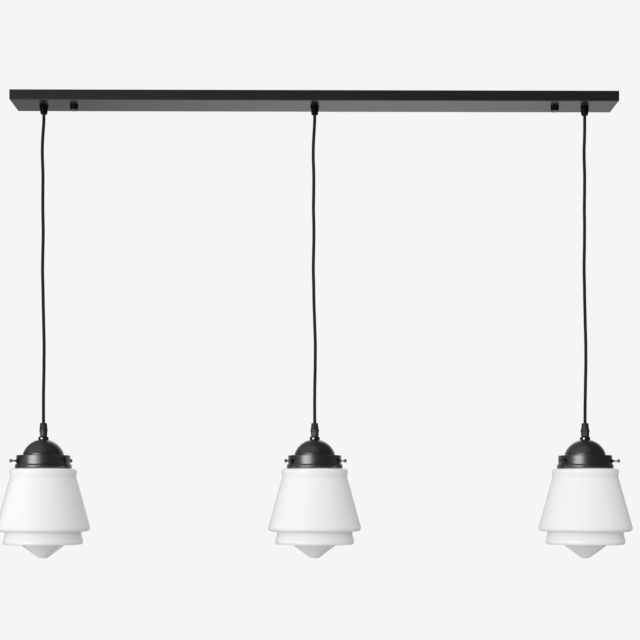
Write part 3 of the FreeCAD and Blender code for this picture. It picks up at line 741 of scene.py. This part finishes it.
def porcelain():
    """Glazed porcelain of the lampholders' inserts."""
    shader = Shader("porcelain", specular_ior_level=0.5, coat_weight=0.5, coat_roughness=0.05)
    shader.colour(shader.noise(40, detail=3), (0.80, 0.79, 0.75), (0.86, 0.85, 0.82))
    shader.roughness(shader.noise(200, detail=3), low=0.16, high=0.26)
    shader.bump(shader.noise(160, detail=3), strength=0.12, distance=0.05)
    return shader.material


def frosted_glass():
    """Frosted white glass of the bulbs."""
    shader = Shader(
        "bulb_glass",
        specular_ior_level=0.5,
        subsurface_weight=0.3,
        subsurface_radius=(0.01, 0.01, 0.009),
        subsurface_scale=1.0,
    )
    shader.colour(shader.noise(30, detail=2), (0.86, 0.85, 0.82), (0.90, 0.895, 0.87))
    shader.roughness(shader.noise(900, detail=3), low=0.32, high=0.42)
    shader.bump(shader.noise(1800, detail=2), strength=0.10, distance=0.02)
    return shader.material


MATERIALS = {
    "black_powder_coat": powder_coat(),
    "satin_black": satin_metal(),
    "gloss_black": gloss_metal(),
    "zinc_steel": zinc_steel(),
    "brass": brass(),
    "black_plastic": grip_plastic("grip_plastic", specular=0.6, dark=0.0200, light=0.0290),
    "white_plastic": white_plastic(),
    "black_textile": plain_textile(),
    "earth_insulation": earth_insulation(),
    "porcelain": porcelain(),
    "opal_glass": opal_glass(),
    "bulb_glass": frosted_glass(),
}
BRAID = textile()
# The upper grips are the same nylon as the lower ones, painted far darker and duller: painted shade under
# the bar.
UPPER_GRIP_PAINTED_SHADE = grip_plastic("upper_grip_painted_shade", specular=0.12, dark=0.0020, light=0.0030)
NUT_COAT_PAINTED_SHADE = nut_coat_painted_shade()


def dress_cad_nodes():
    """Every CAD node gets the material of its slot."""
    for subpart in frame["record"]["subparts"]:
        obj = frame["nodes"][subpart["node"]]
        obj.data.materials.clear()
        obj.data.materials.append(MATERIALS[subpart["material_slot"]])


# Cords


def nurbs_points(name, route):
    """Points along the smooth NURBS curve that the route's points steer, in millimetres."""
    curve = bpy.data.curves.new(name + "_line", "CURVE")
    curve.dimensions = "3D"
    curve.resolution_u = CORD_CURVE_STEPS
    spline = curve.splines.new("NURBS")
    spline.points.add(len(route) - 1)
    for point, place in zip(spline.points, route):
        point.co = (*(Vector(place) * MM), 1.0)
    spline.order_u = 3
    spline.use_endpoint_u = True
    holder = bpy.data.objects.new(name + "_line", curve)
    bpy.context.collection.objects.link(holder)
    bpy.context.view_layer.update()
    mesh = bpy.data.meshes.new_from_object(holder)
    points = [v.co / MM for v in mesh.vertices]
    bpy.data.objects.remove(holder)
    bpy.data.curves.remove(curve)
    bpy.data.meshes.remove(mesh)
    return points


def evenly(points, step):
    """The same line with a point every step millimetres or so, and its length."""
    lengths = [0.0]
    for a, b in zip(points, points[1:]):
        lengths.append(lengths[-1] + (b - a).length)
    count = max(2, round(lengths[-1] / step))
    result = []
    index = 0
    for i in range(count + 1):
        target = lengths[-1] * i / count
        while index < len(points) - 2 and lengths[index + 1] < target:
            index += 1
        share = (target - lengths[index]) / (lengths[index + 1] - lengths[index])
        result.append(points[index].lerp(points[index + 1], min(1.0, share)))
    return result, lengths[-1]


def cord_route(side):
    """Points that steer a cord from inside the upper grip, through the lower one, to its lower end."""
    low, _, middle = node_box("cord_" + side)
    mouth = node_box("upper_grip_caps")[0].z
    cap_low, cap_high, _ = node_box("lower_grip_cap_" + side)
    x = middle.x
    route = [(x, 0, mouth + CORD_START_INSET), (x, 0, mouth)]
    route += [(x + drift_x, drift_y, mouth - fall) for fall, drift_x, drift_y in CORD_ROUTES[side]]
    route += [(x, 0, cap_high.z), (x, 0, cap_low.z), (x, 0, low.z)]
    return route


def cord_tube(points, length):
    """Vertices and faces of a tube with three soft lobes, and the UV of each face's corners."""
    vertices = []
    travelled = []
    for index, point in enumerate(points):
        before = points[max(0, index - 1)]
        after = points[min(len(points) - 1, index + 1)]
        tangent = (after - before).normalized()
        across = Vector((1, 0, 0))
        across = (across - tangent * across.dot(tangent)).normalized()
        other = tangent.cross(across)
        run = length * index / (len(points) - 1)
        for step in range(CORD_SIDES):
            angle = 2 * math.pi * step / CORD_SIDES
            lobe = math.cos(CORD_LOBES * angle + 2 * math.pi * run / CORD_LOBE_PITCH)
            reach = CORD_RADIUS - CORD_LOBE_DEPTH * (0.5 - 0.5 * lobe)
            vertices.append(point + (across * math.cos(angle) + other * math.sin(angle)) * reach)
        travelled.append(run)
    faces = []
    coordinates = []
    for index in range(len(points) - 1):
        row = index * CORD_SIDES
        low_v = travelled[index]
        high_v = travelled[index + 1]
        for step in range(CORD_SIDES):
            after = (step + 1) % CORD_SIDES
            faces.append([row + step, row + after, row + CORD_SIDES + after, row + CORD_SIDES + step])
            low_u = step / CORD_SIDES
            high_u = (step + 1) / CORD_SIDES
            coordinates += [(low_u, low_v), (high_u, low_v), (high_u, high_v), (low_u, high_v)]
    last = (len(points) - 1) * CORD_SIDES
    faces.append(list(range(CORD_SIDES))[::-1])
    faces.append(list(range(last, last + CORD_SIDES)))
    coordinates += [(0, 0)] * (2 * CORD_SIDES)
    return vertices, faces, coordinates


def cord(side):
    """One hanging cord with its braid, made in one piece for the short top and the long cord."""
    points, length = evenly(nurbs_points("cord_" + side, cord_route(side)), CORD_RING_STEP)
    vertices, faces, coordinates = cord_tube(points, length)
    obj = new_object("hanging_cord_" + side, vertices, faces, sharp=CORD_SHARP_ANGLE)
    layer = obj.data.uv_layers.new(name="UVMap")
    for item, value in zip(layer.data, coordinates):
        item.uv = value
    obj.data.materials.append(BRAID)
    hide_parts("cord_top_" + side, "cord_" + side)
    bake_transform(obj)


# Gallery with its bosses and screws


def gallery_outline(low, top, flat):
    """Outline of the spun sheet from the rim of its bead to the hole in its top, outside and inside.

    The dome is flat up to the flat radius, where the collar ring sits."""
    step = top - DOME_HEIGHT
    centre = top + DOME_LIFT - math.sqrt(DOME_RADIUS**2 - flat**2)
    first = math.degrees(math.asin((top - centre) / DOME_RADIUS))
    last = math.degrees(math.asin((step + DOME_FOOT - centre) / DOME_RADIUS))
    foot = DOME_RADIUS * math.cos(math.radians(last))
    bead_top = step - BAND_HEIGHT
    inner = BAND_RADIUS - SHEET
    outside = [Vector((THREAD_HOLE_RADIUS, top))]
    outside += arc((0, centre), DOME_RADIUS, first, last + DOME_OVERRUN_TURN, DOME_STEPS)
    lower = rounded(
        [
            (foot, step + DOME_FOOT, 0),
            (foot, step, SPUN_FILLET),
            (BAND_RADIUS, step, BAND_FILLET),
            (BAND_RADIUS, bead_top, CRISP_EDGE),
            (BEAD_RADIUS - BEAD_TOP_INSET, bead_top, BROKEN_EDGE),
            (BEAD_RADIUS, (bead_top + low) / 2, BEAD_FILLET),
            (BEAD_RADIUS - BEAD_BOTTOM_INSET, low, BEAD_BOTTOM_FILLET),
            (inner, low, RIM_FILLET),
            (inner, step - SHEET, SPUN_FILLET),
            (foot - SHEET, step - SHEET, 0),
        ]
    )
    inside = arc((0, centre), DOME_RADIUS - SHEET, last, first, DOME_INNER_STEPS)
    return outside + lower + inside + [Vector((THREAD_HOLE_RADIUS, top - SHEET))]


def gallery(side):
    low, high, middle = node_box("gallery_" + side)
    flat = node_box("collar_ring_" + side)[1].x - middle.x
    vertices, faces = lathe(gallery_outline(low.z, high.z, flat), FINE_TURN)
    obj = new_object("spun_gallery_" + side, placed(vertices, middle.x), faces)
    finish_piece(obj, "lamp_" + side, "gallery_" + side, MATERIALS["satin_black"])


def radial(index):
    """Turns the Z axis to the outward line of one thumb screw."""
    angle = math.radians(SCREW_TURN + 360 * index / SCREWS_PER_GALLERY)
    return Matrix.Rotation(angle, 4, "Z") @ Matrix.Rotation(math.pi / 2, 4, "Y")


def screw_height(side):
    return node_box("gallery_" + side)[1].z - DOME_HEIGHT - SCREW_DROP


def screw_bosses(side):
    """The bosses on the band that the thumb screws go through."""
    middle = node_box("gallery_" + side)[2]
    hole = SHAFT_RADIUS + BOSS_CLEARANCE
    root = BAND_RADIUS - SHEET
    outline = rounded(
        [
            (hole, root, 0),
            (hole, BAND_RADIUS + BOSS_HEIGHT, CRISP_EDGE),
            (BOSS_RADIUS, BAND_RADIUS + BOSS_HEIGHT, BOSS_FILLET),
            (BOSS_RADIUS, root, 0),
        ]
    )
    vertices, faces = lathe(outline, SMALL_TURN)
    parts = []
    for index in range(SCREWS_PER_GALLERY):
        parts.append((placed(vertices, middle.x, screw_height(side), radial(index)), faces))
    obj = new_object("screw_bosses_" + side, *merged(parts))
    # The bosses take the nut coat, darker than the gallery they belong to: painted shade around the
    # screws.
    finish_piece(obj, "lamp_" + side, "gallery_" + side, NUT_COAT_PAINTED_SHADE)


def thumb_screw(side, index):
    """One thumb screw: a shaft with a rounded tip, a lock ring against the boss and a knurled knob."""
    node = "thumb_screw_" + side + "_" + str(index + 1)
    middle = node_box("gallery_" + side)[2]
    start = KNOB_END - KNOB_LENGTH
    outline = rounded(
        [
            (0, SHAFT_START, 0),
            (SHAFT_RADIUS - SHAFT_TIP_BEVEL, SHAFT_START, CRISP_EDGE),
            (SHAFT_RADIUS, SHAFT_START + SHAFT_TIP_LENGTH, CRISP_EDGE),
            (SHAFT_RADIUS, LOCK_RING_START, CRISP_EDGE / 2),
            (LOCK_RING_RADIUS, LOCK_RING_START, LOCK_RING_INNER_FILLET),
            (LOCK_RING_RADIUS, LOCK_RING_END, LOCK_RING_OUTER_FILLET),
            (SHAFT_RADIUS, LOCK_RING_END, CRISP_EDGE),
            (SHAFT_RADIUS, start - KNOB_ROOT, KNOB_FILLET),
            (KNOB_RADIUS - KNOB_BEVEL, start, KNOB_BEVEL_FILLET),
            (KNOB_RADIUS, start + KNOB_BEVEL, KNOB_FILLET),
            (KNOB_RADIUS, start + KNOB_FLANK_START, 0),
            (KNOB_RADIUS, KNOB_END - KNOB_CROWN_START, KNOB_CROWN_FILLET),
            (KNOB_RADIUS - KNOB_CROWN_INSET, KNOB_END - KNOB_CROWN_HEIGHT, KNOB_CROWN_RIM_FILLET),
            (0, KNOB_END, 0),
        ]
    )
    knurl = (KNOB_KNURLS, KNOB_KNURL_DEPTH, start + KNOB_BEVEL, KNOB_END - KNOB_KNURL_END)
    vertices, faces = lathe(outline, KNOB_KNURLS * STEPS_PER_KNURL, closed=False, knurl=knurl)
    vertices = placed(vertices, middle.x, screw_height(side), radial(index))
    obj = new_object("knurled_screw_" + side + "_" + str(index + 1), vertices, faces)
    finish_piece(obj, node, node, MATERIALS["satin_black"])


# Cord grips


def grip_cap():
    """Vertices and faces of the faceted cap that closes the collet on the cord."""
    mouth = GRIP_RING_HEIGHT + GRIP_CAP_LENGTH
    pocket_end = GRIP_RING_HEIGHT + COLLET_LENGTH + COLLET_CLEARANCE
    outline = rounded(
        [
            (POCKET_RADIUS, GRIP_RING_HEIGHT, CRISP_EDGE),
            (GRIP_CAP_BASE_RADIUS, GRIP_RING_HEIGHT, BROKEN_EDGE),
            (GRIP_CAP_MOUTH_RADIUS, mouth, GRIP_CAP_MOUTH_FILLET),
            (MOUTH_RADIUS, mouth, BROKEN_EDGE),
            (MOUTH_RADIUS, pocket_end, CRISP_EDGE),
            (POCKET_RADIUS, pocket_end, CRISP_EDGE),
        ]
    )
    flats = (GRIP_CAP_SIDES, GRIP_CAP_CORNER, POCKET_RADIUS + GRIP_CAP_FLATS_WALL)
    return lathe(outline, FINE_TURN, flats=flats)


def grip_body(below_ring):
    """Vertices and faces of the hexagonal ring with its collet, and of the outline below the ring."""
    collet_end = GRIP_RING_HEIGHT + COLLET_LENGTH
    outline = rounded(
        below_ring
        + [
            (GRIP_RING_RADIUS, 0, GRIP_RING_LOWER_FILLET),
            (GRIP_RING_RADIUS, GRIP_RING_HEIGHT, GRIP_RING_UPPER_FILLET),
            (COLLET_RADIUS, GRIP_RING_HEIGHT, CRISP_EDGE),
            (COLLET_RADIUS, collet_end, COLLET_FILLET),
            (BORE_RADIUS, collet_end, CRISP_EDGE),
        ]
    )
    flats = (GRIP_BODY_SIDES, GRIP_BODY_CORNER, COLLET_RADIUS + GRIP_RING_FLATS_WALL)
    return lathe(outline, FINE_TURN, flats=flats)


def grip_turn(hanging):
    """Turns a grip to the angle at which the photograph shows it, mouth down when it hangs."""
    turn = Matrix.Rotation(math.radians(GRIP_TURN), 4, "Z")
    return Matrix.Rotation(math.pi, 4, "X") @ turn if hanging else turn


def threaded_spigot():
    """Outline of the thread that goes up through the bar, from its bore to the ring."""
    root = SPIGOT_RADIUS - THREAD_DEPTH
    corners = [(BORE_RADIUS, -SPIGOT_LENGTH, CRISP_EDGE), (root, -SPIGOT_LENGTH, 0)]
    for index in range(int(SPIGOT_LENGTH / THREAD_PITCH)):
        low = -SPIGOT_LENGTH + THREAD_RUN_OUT + index * THREAD_PITCH
        corners.append((SPIGOT_RADIUS, low + THREAD_CREST_SHARE * THREAD_PITCH, 0))
        corners.append((root, low + THREAD_ROOT_SHARE * THREAD_PITCH, 0))
    corners.append((root, 0, 0))
    return corners


def upper_grips():
    """The three grips under the bar."""
    underside = node_box("ceiling_bar")[0].z
    pieces = (
        ("hanging_grip_caps", "upper_grip_caps", grip_cap()),
        ("hanging_grip_bodies", "upper_grip_bodies", grip_body(threaded_spigot())),
    )
    for name, node, (vertices, faces) in pieces:
        parts = []
        for side in SIDES:
            x = node_box("cord_" + side)[2].x
            parts.append((placed(vertices, x, underside, grip_turn(True)), faces))
        obj = new_object(name, *merged(parts))
        finish_piece(obj, "bar", node, UPPER_GRIP_PAINTED_SHADE)


def lower_grip(side):
    """The grip on top of one lamp, whose barrel takes the nipple."""
    low, _, middle = node_box("lower_grip_body_" + side)
    nipple_end = -BARREL_LENGTH + NIPPLE_DEPTH
    barrel = [
        (BORE_RADIUS, nipple_end, CRISP_EDGE),
        (SPIGOT_RADIUS, nipple_end, CRISP_EDGE),
        (SPIGOT_RADIUS, -BARREL_LENGTH, CRISP_EDGE),
        (BARREL_RADIUS - BARREL_FOOT_INSET, -BARREL_LENGTH, BARREL_FOOT_FILLET),
        (BARREL_RADIUS, -BARREL_NECK_LENGTH, BARREL_NECK_FILLET),
        (BARREL_RADIUS - BARREL_NECK_INSET, 0, BARREL_TOP_FILLET),
    ]
    pieces = (
        ("faceted_cap_" + side, "lower_grip_cap_" + side, grip_cap()),
        ("ringed_barrel_" + side, "lower_grip_body_" + side, grip_body(barrel)),
    )
    for name, node, (vertices, faces) in pieces:
        vertices = placed(vertices, middle.x, low.z + BARREL_LENGTH, grip_turn(False))
        obj = new_object(name, vertices, faces)
        finish_piece(obj, "lamp_" + side, node, MATERIALS["black_plastic"])


# Cap nuts, collar rings and shades


def cap_nut(side):
    node = "cap_nut_" + side
    low, high, middle = node_box(node)
    knurl_low = high.z - CAP_NUT_KNURL_HEIGHT
    rim_top = low.z + CAP_NUT_RIM_HEIGHT
    bore_end = high.z - CAP_NUT_BORE_DEPTH
    outline = rounded(
        [
            (0, low.z + CAP_NUT_DISH_DEPTH, 0),
            (CAP_NUT_RIM_RADIUS - CAP_NUT_DISH_INSET, low.z, CAP_NUT_DISH_FILLET),
            (CAP_NUT_RIM_RADIUS, low.z, CAP_NUT_RIM_LOWER_FILLET),
            (CAP_NUT_RIM_RADIUS, rim_top, CAP_NUT_RIM_UPPER_FILLET),
            (CAP_NUT_WAIST_RADIUS, rim_top + CAP_NUT_WAIST_STEP, CAP_NUT_WAIST_LOWER_FILLET),
            (CAP_NUT_WAIST_RADIUS, knurl_low - CAP_NUT_WAIST_STEP, CAP_NUT_WAIST_UPPER_FILLET),
            (CAP_NUT_RADIUS, knurl_low, CAP_NUT_KNURL_FILLET),
            (CAP_NUT_RADIUS, high.z, CAP_NUT_TOP_FILLET),
            (CAP_NUT_BORE_RADIUS, high.z, CAP_NUT_BORE_FILLET),
            (CAP_NUT_BORE_RADIUS, bore_end, 0),
            (0, bore_end, 0),
        ]
    )
    groove_low = knurl_low + CAP_NUT_KNURL_LOWER_MARGIN
    groove_high = high.z - CAP_NUT_KNURL_UPPER_MARGIN
    knurl = (CAP_NUT_KNURLS, CAP_NUT_KNURL_DEPTH, groove_low, groove_high)
    vertices, faces = lathe(outline, CAP_NUT_KNURLS * STEPS_PER_KNURL, closed=False, knurl=knurl)
    obj = new_object("knurled_nut_" + side, placed(vertices, middle.x), faces)
    finish_piece(obj, node, node, NUT_COAT_PAINTED_SHADE)


def collar_ring(side):
    low, high, middle = node_box("collar_ring_" + side)
    radius = high.x - middle.x
    outline = rounded(
        [
            (THREAD_HOLE_RADIUS, low.z, CRISP_EDGE),
            (radius, low.z, COLLAR_FILLET),
            (radius, high.z, COLLAR_FILLET),
            (THREAD_HOLE_RADIUS, high.z, CRISP_EDGE),
        ]
    )
    vertices, faces = lathe(outline, SMALL_TURN)
    obj = new_object("polished_ring_" + side, placed(vertices, middle.x), faces, sharp=ROUND_SHARP_ANGLE)
    finish_piece(obj, "lamp_" + side, "collar_ring_" + side, MATERIALS["gloss_black"])


def glass_shade(side):
    """One blown shade, a closed skin from its lip to the tip of its finial."""
    low, high, middle = node_box("glass_shade_" + side)
    tip = low.z
    tier_bottom = tip + FINIAL_HEIGHT
    step = tip + STEP_HEIGHT
    lip_top = high.z
    lip_bottom = lip_top - LIP_HEIGHT
    shoulder = lip_bottom - LIP_ABOVE_SHOULDER
    waist = shoulder - WAIST_DROP
    cone_top = shoulder - CONE_TOP_DROP
    wall = GLASS_WALL
    bore = NECK_RADIUS - wall
    outside = [
        (bore, lip_top, LIP_FILLET),
        (LIP_RADIUS, lip_top, LIP_FILLET),
        (LIP_RADIUS, lip_bottom + LIP_SLOPE, LIP_UNDER_FILLET),
        (NECK_RADIUS, lip_bottom, NECK_TOP_FILLET),
        (NECK_RADIUS, shoulder, NECK_FOOT_FILLET),
        (SHOULDER_RADIUS, shoulder, SHOULDER_FILLET),
        (WAIST_RADIUS, waist, WAIST_FILLET),
        (CONE_TOP_RADIUS, cone_top, CONE_TOP_FILLET),
        (SHADE_RADIUS, step, SHADE_EDGE_FILLET),
        (TIER_TOP_RADIUS, step, TIER_TOP_FILLET),
        (TIER_WAIST_RADIUS, step - TIER_FLARE * TIER_WAIST_SHARE, TIER_WAIST_FILLET),
        (TIER_RADIUS, step - TIER_FLARE - TIER_FLARE_OVERRUN, TIER_FLARE_FILLET),
        (TIER_RADIUS, tier_bottom + TIER_BEVEL_HEIGHT, TIER_FILLET),
        (TIER_RADIUS - TIER_BEVEL, tier_bottom, TIER_FILLET),
        (FINIAL_RADIUS, tier_bottom, FINIAL_ROOT_FILLET),
        (FINIAL_TIP_RADIUS, tip, FINIAL_TIP_FILLET),
        (0, tip, 0),
    ]
    inside = [
        (0, tip + wall, 0),
        (FINIAL_TIP_RADIUS - wall / 2, tip + wall, INNER_TIP_FILLET),
        (FINIAL_RADIUS - wall, tier_bottom + wall, INNER_FINIAL_FILLET),
        (TIER_TOP_RADIUS - wall, tier_bottom + wall, INNER_TIER_FILLET),
        (TIER_TOP_RADIUS - wall, step + wall, INNER_STEP_FILLET),
        (SHADE_RADIUS - INNER_EDGE_WALLS * wall, step + wall, INNER_EDGE_FILLET),
        (CONE_TOP_RADIUS - wall, cone_top, CONE_TOP_FILLET),
        (WAIST_RADIUS - wall, waist, WAIST_FILLET),
        (SHOULDER_RADIUS - wall, shoulder - wall, INNER_SHOULDER_FILLET),
        (bore, shoulder - wall, INNER_NECK_FILLET),
    ]
    vertices, faces = lathe(rounded(outside + inside), FINE_TURN)
    obj = new_object("opal_shade_" + side, placed(vertices, middle.x), faces, sharp=ROUND_SHARP_ANGLE)
    finish_piece(obj, "lamp_" + side, "glass_shade_" + side, MATERIALS["opal_glass"])


# Stage, light and camera


def floor():
    """A pale floor, which gives back less light to the object than it shows the camera."""
    paint = Shader("studio_floor", roughness=FLOOR_ROUGHNESS)
    paint.colour(paint.output("ShaderNodeLightPath", "Is Diffuse Ray"), BACKDROP, FLOOR_BOUNCE)
    sides = ((-1, -1), (1, -1), (1, 1), (-1, 1))
    corners = [(x * FLOOR_SIZE, y * FLOOR_SIZE, FLOOR_Z) for x, y in sides]
    obj = new_object("studio_floor", corners, [[0, 1, 2, 3]])
    obj.data.materials.append(paint.material)


def mirrored_world(tree, towards):
    """What metal and glass see: the pale backdrop behind the object, and a dimmer room on all other sides.

    The backdrop fades to both sides, and the room has a glow up and to the left."""
    direction = tree.nodes.new("ShaderNodeSeparateXYZ")
    tree.links.new(towards, direction.inputs["Vector"])
    aside = tree.maths("ABSOLUTE", tree.maths("SUBTRACT", direction.outputs["X"], BACKDROP_MIDDLE))
    fade = tree.spread(aside, 1.0, BACKDROP_END_SHARE, BACKDROP_FULL, BACKDROP_END)
    towards_glow = tree.share_along(towards, ROOM_GLOW_TOWARDS)
    glow = tree.spread(towards_glow, 1.0, ROOM_GLOW, ROOM_GLOW_START, ROOM_GLOW_END, smooth=True)
    room_share = tree.spread(direction.outputs["Y"], 0.0, 1.0, ROOM_START, ROOM_END, smooth=True)
    return tree.mixed_shader(room_share, tree.background(BACKDROP, fade), tree.background(ROOM, glow))


def world():
    """Soft light from all round that is stronger from the front and its left.

    The camera sees a plain backdrop, and what is mirrored is in mirrored_world."""
    studio = bpy.data.worlds.new("studio")
    bpy.context.scene.world = studio
    tree = NodeTree(studio)
    towards = tree.output("ShaderNodeTexCoord", "Generated")
    turn = math.radians(FRONT_TURN)
    front = tree.share_along(towards, (-math.sin(turn), -math.cos(turn), 0))
    weakest = WORLD_STRENGTH * (1 - FRONT_SHARE)
    strongest = WORLD_STRENGTH * (1 + FRONT_SHARE)
    ambient = tree.nodes["Background"]
    ambient.inputs["Color"].default_value = (1.0, 1.0, 1.0, 1.0)
    tree.feed(ambient.inputs["Strength"], tree.spread(front, weakest, strongest, -1.0, 1.0))
    path = tree.nodes.new("ShaderNodeLightPath")
    in_glass = tree.maths("MAXIMUM", path.outputs["Is Glossy Ray"], path.outputs["Is Transmission Ray"])
    reflected = tree.mixed_shader(in_glass, ambient.outputs[0], mirrored_world(tree, towards))
    seen = tree.mixed_shader(path.outputs["Is Camera Ray"], reflected, tree.background(BACKDROP))
    tree.links.new(seen, tree.nodes["World Output"].inputs["Surface"])


def soft_light(name, place, width, height, power):
    light = bpy.data.lights.new(name, "AREA")
    light.shape = "RECTANGLE"
    light.size = width * MM
    light.size_y = height * MM
    light.energy = power
    obj = bpy.data.objects.new(name, light)
    bpy.context.collection.objects.link(obj)
    obj.location = Vector(place) * MM
    direction = (Vector(LIGHT_TARGET) - Vector(place)).normalized()
    obj.rotation_euler = direction.to_track_quat("-Z", "Y").to_euler()


def camera():
    data = bpy.data.cameras.new("camera")
    data.lens = CAMERA_LENS
    data.sensor_width = CAMERA_SENSOR
    data.shift_y = CAMERA_SHIFT_Y
    data.clip_end = CAMERA_CLIP_END * MM
    obj = bpy.data.objects.new("camera", data)
    bpy.context.collection.objects.link(obj)
    obj.location = Vector(CAMERA_PLACE) * MM
    obj.rotation_euler = (math.radians(90 + CAMERA_PITCH), 0, math.radians(CAMERA_YAW))
    bpy.context.scene.camera = obj


def main():
    bpy.context.scene.view_settings.view_transform = "Standard"
    camera()
    world()
    for light in LIGHTS:
        soft_light(*light)
    floor()
    dress_cad_nodes()
    upper_grips()
    for side in CAP_NUT_SIDES:
        cap_nut(side)
    for side in SIDES:
        cord(side)
        lower_grip(side)
        gallery(side)
        screw_bosses(side)
        collar_ring(side)
        glass_shade(side)
        for index in range(SCREWS_PER_GALLERY):
            thumb_screw(side, index)


main()
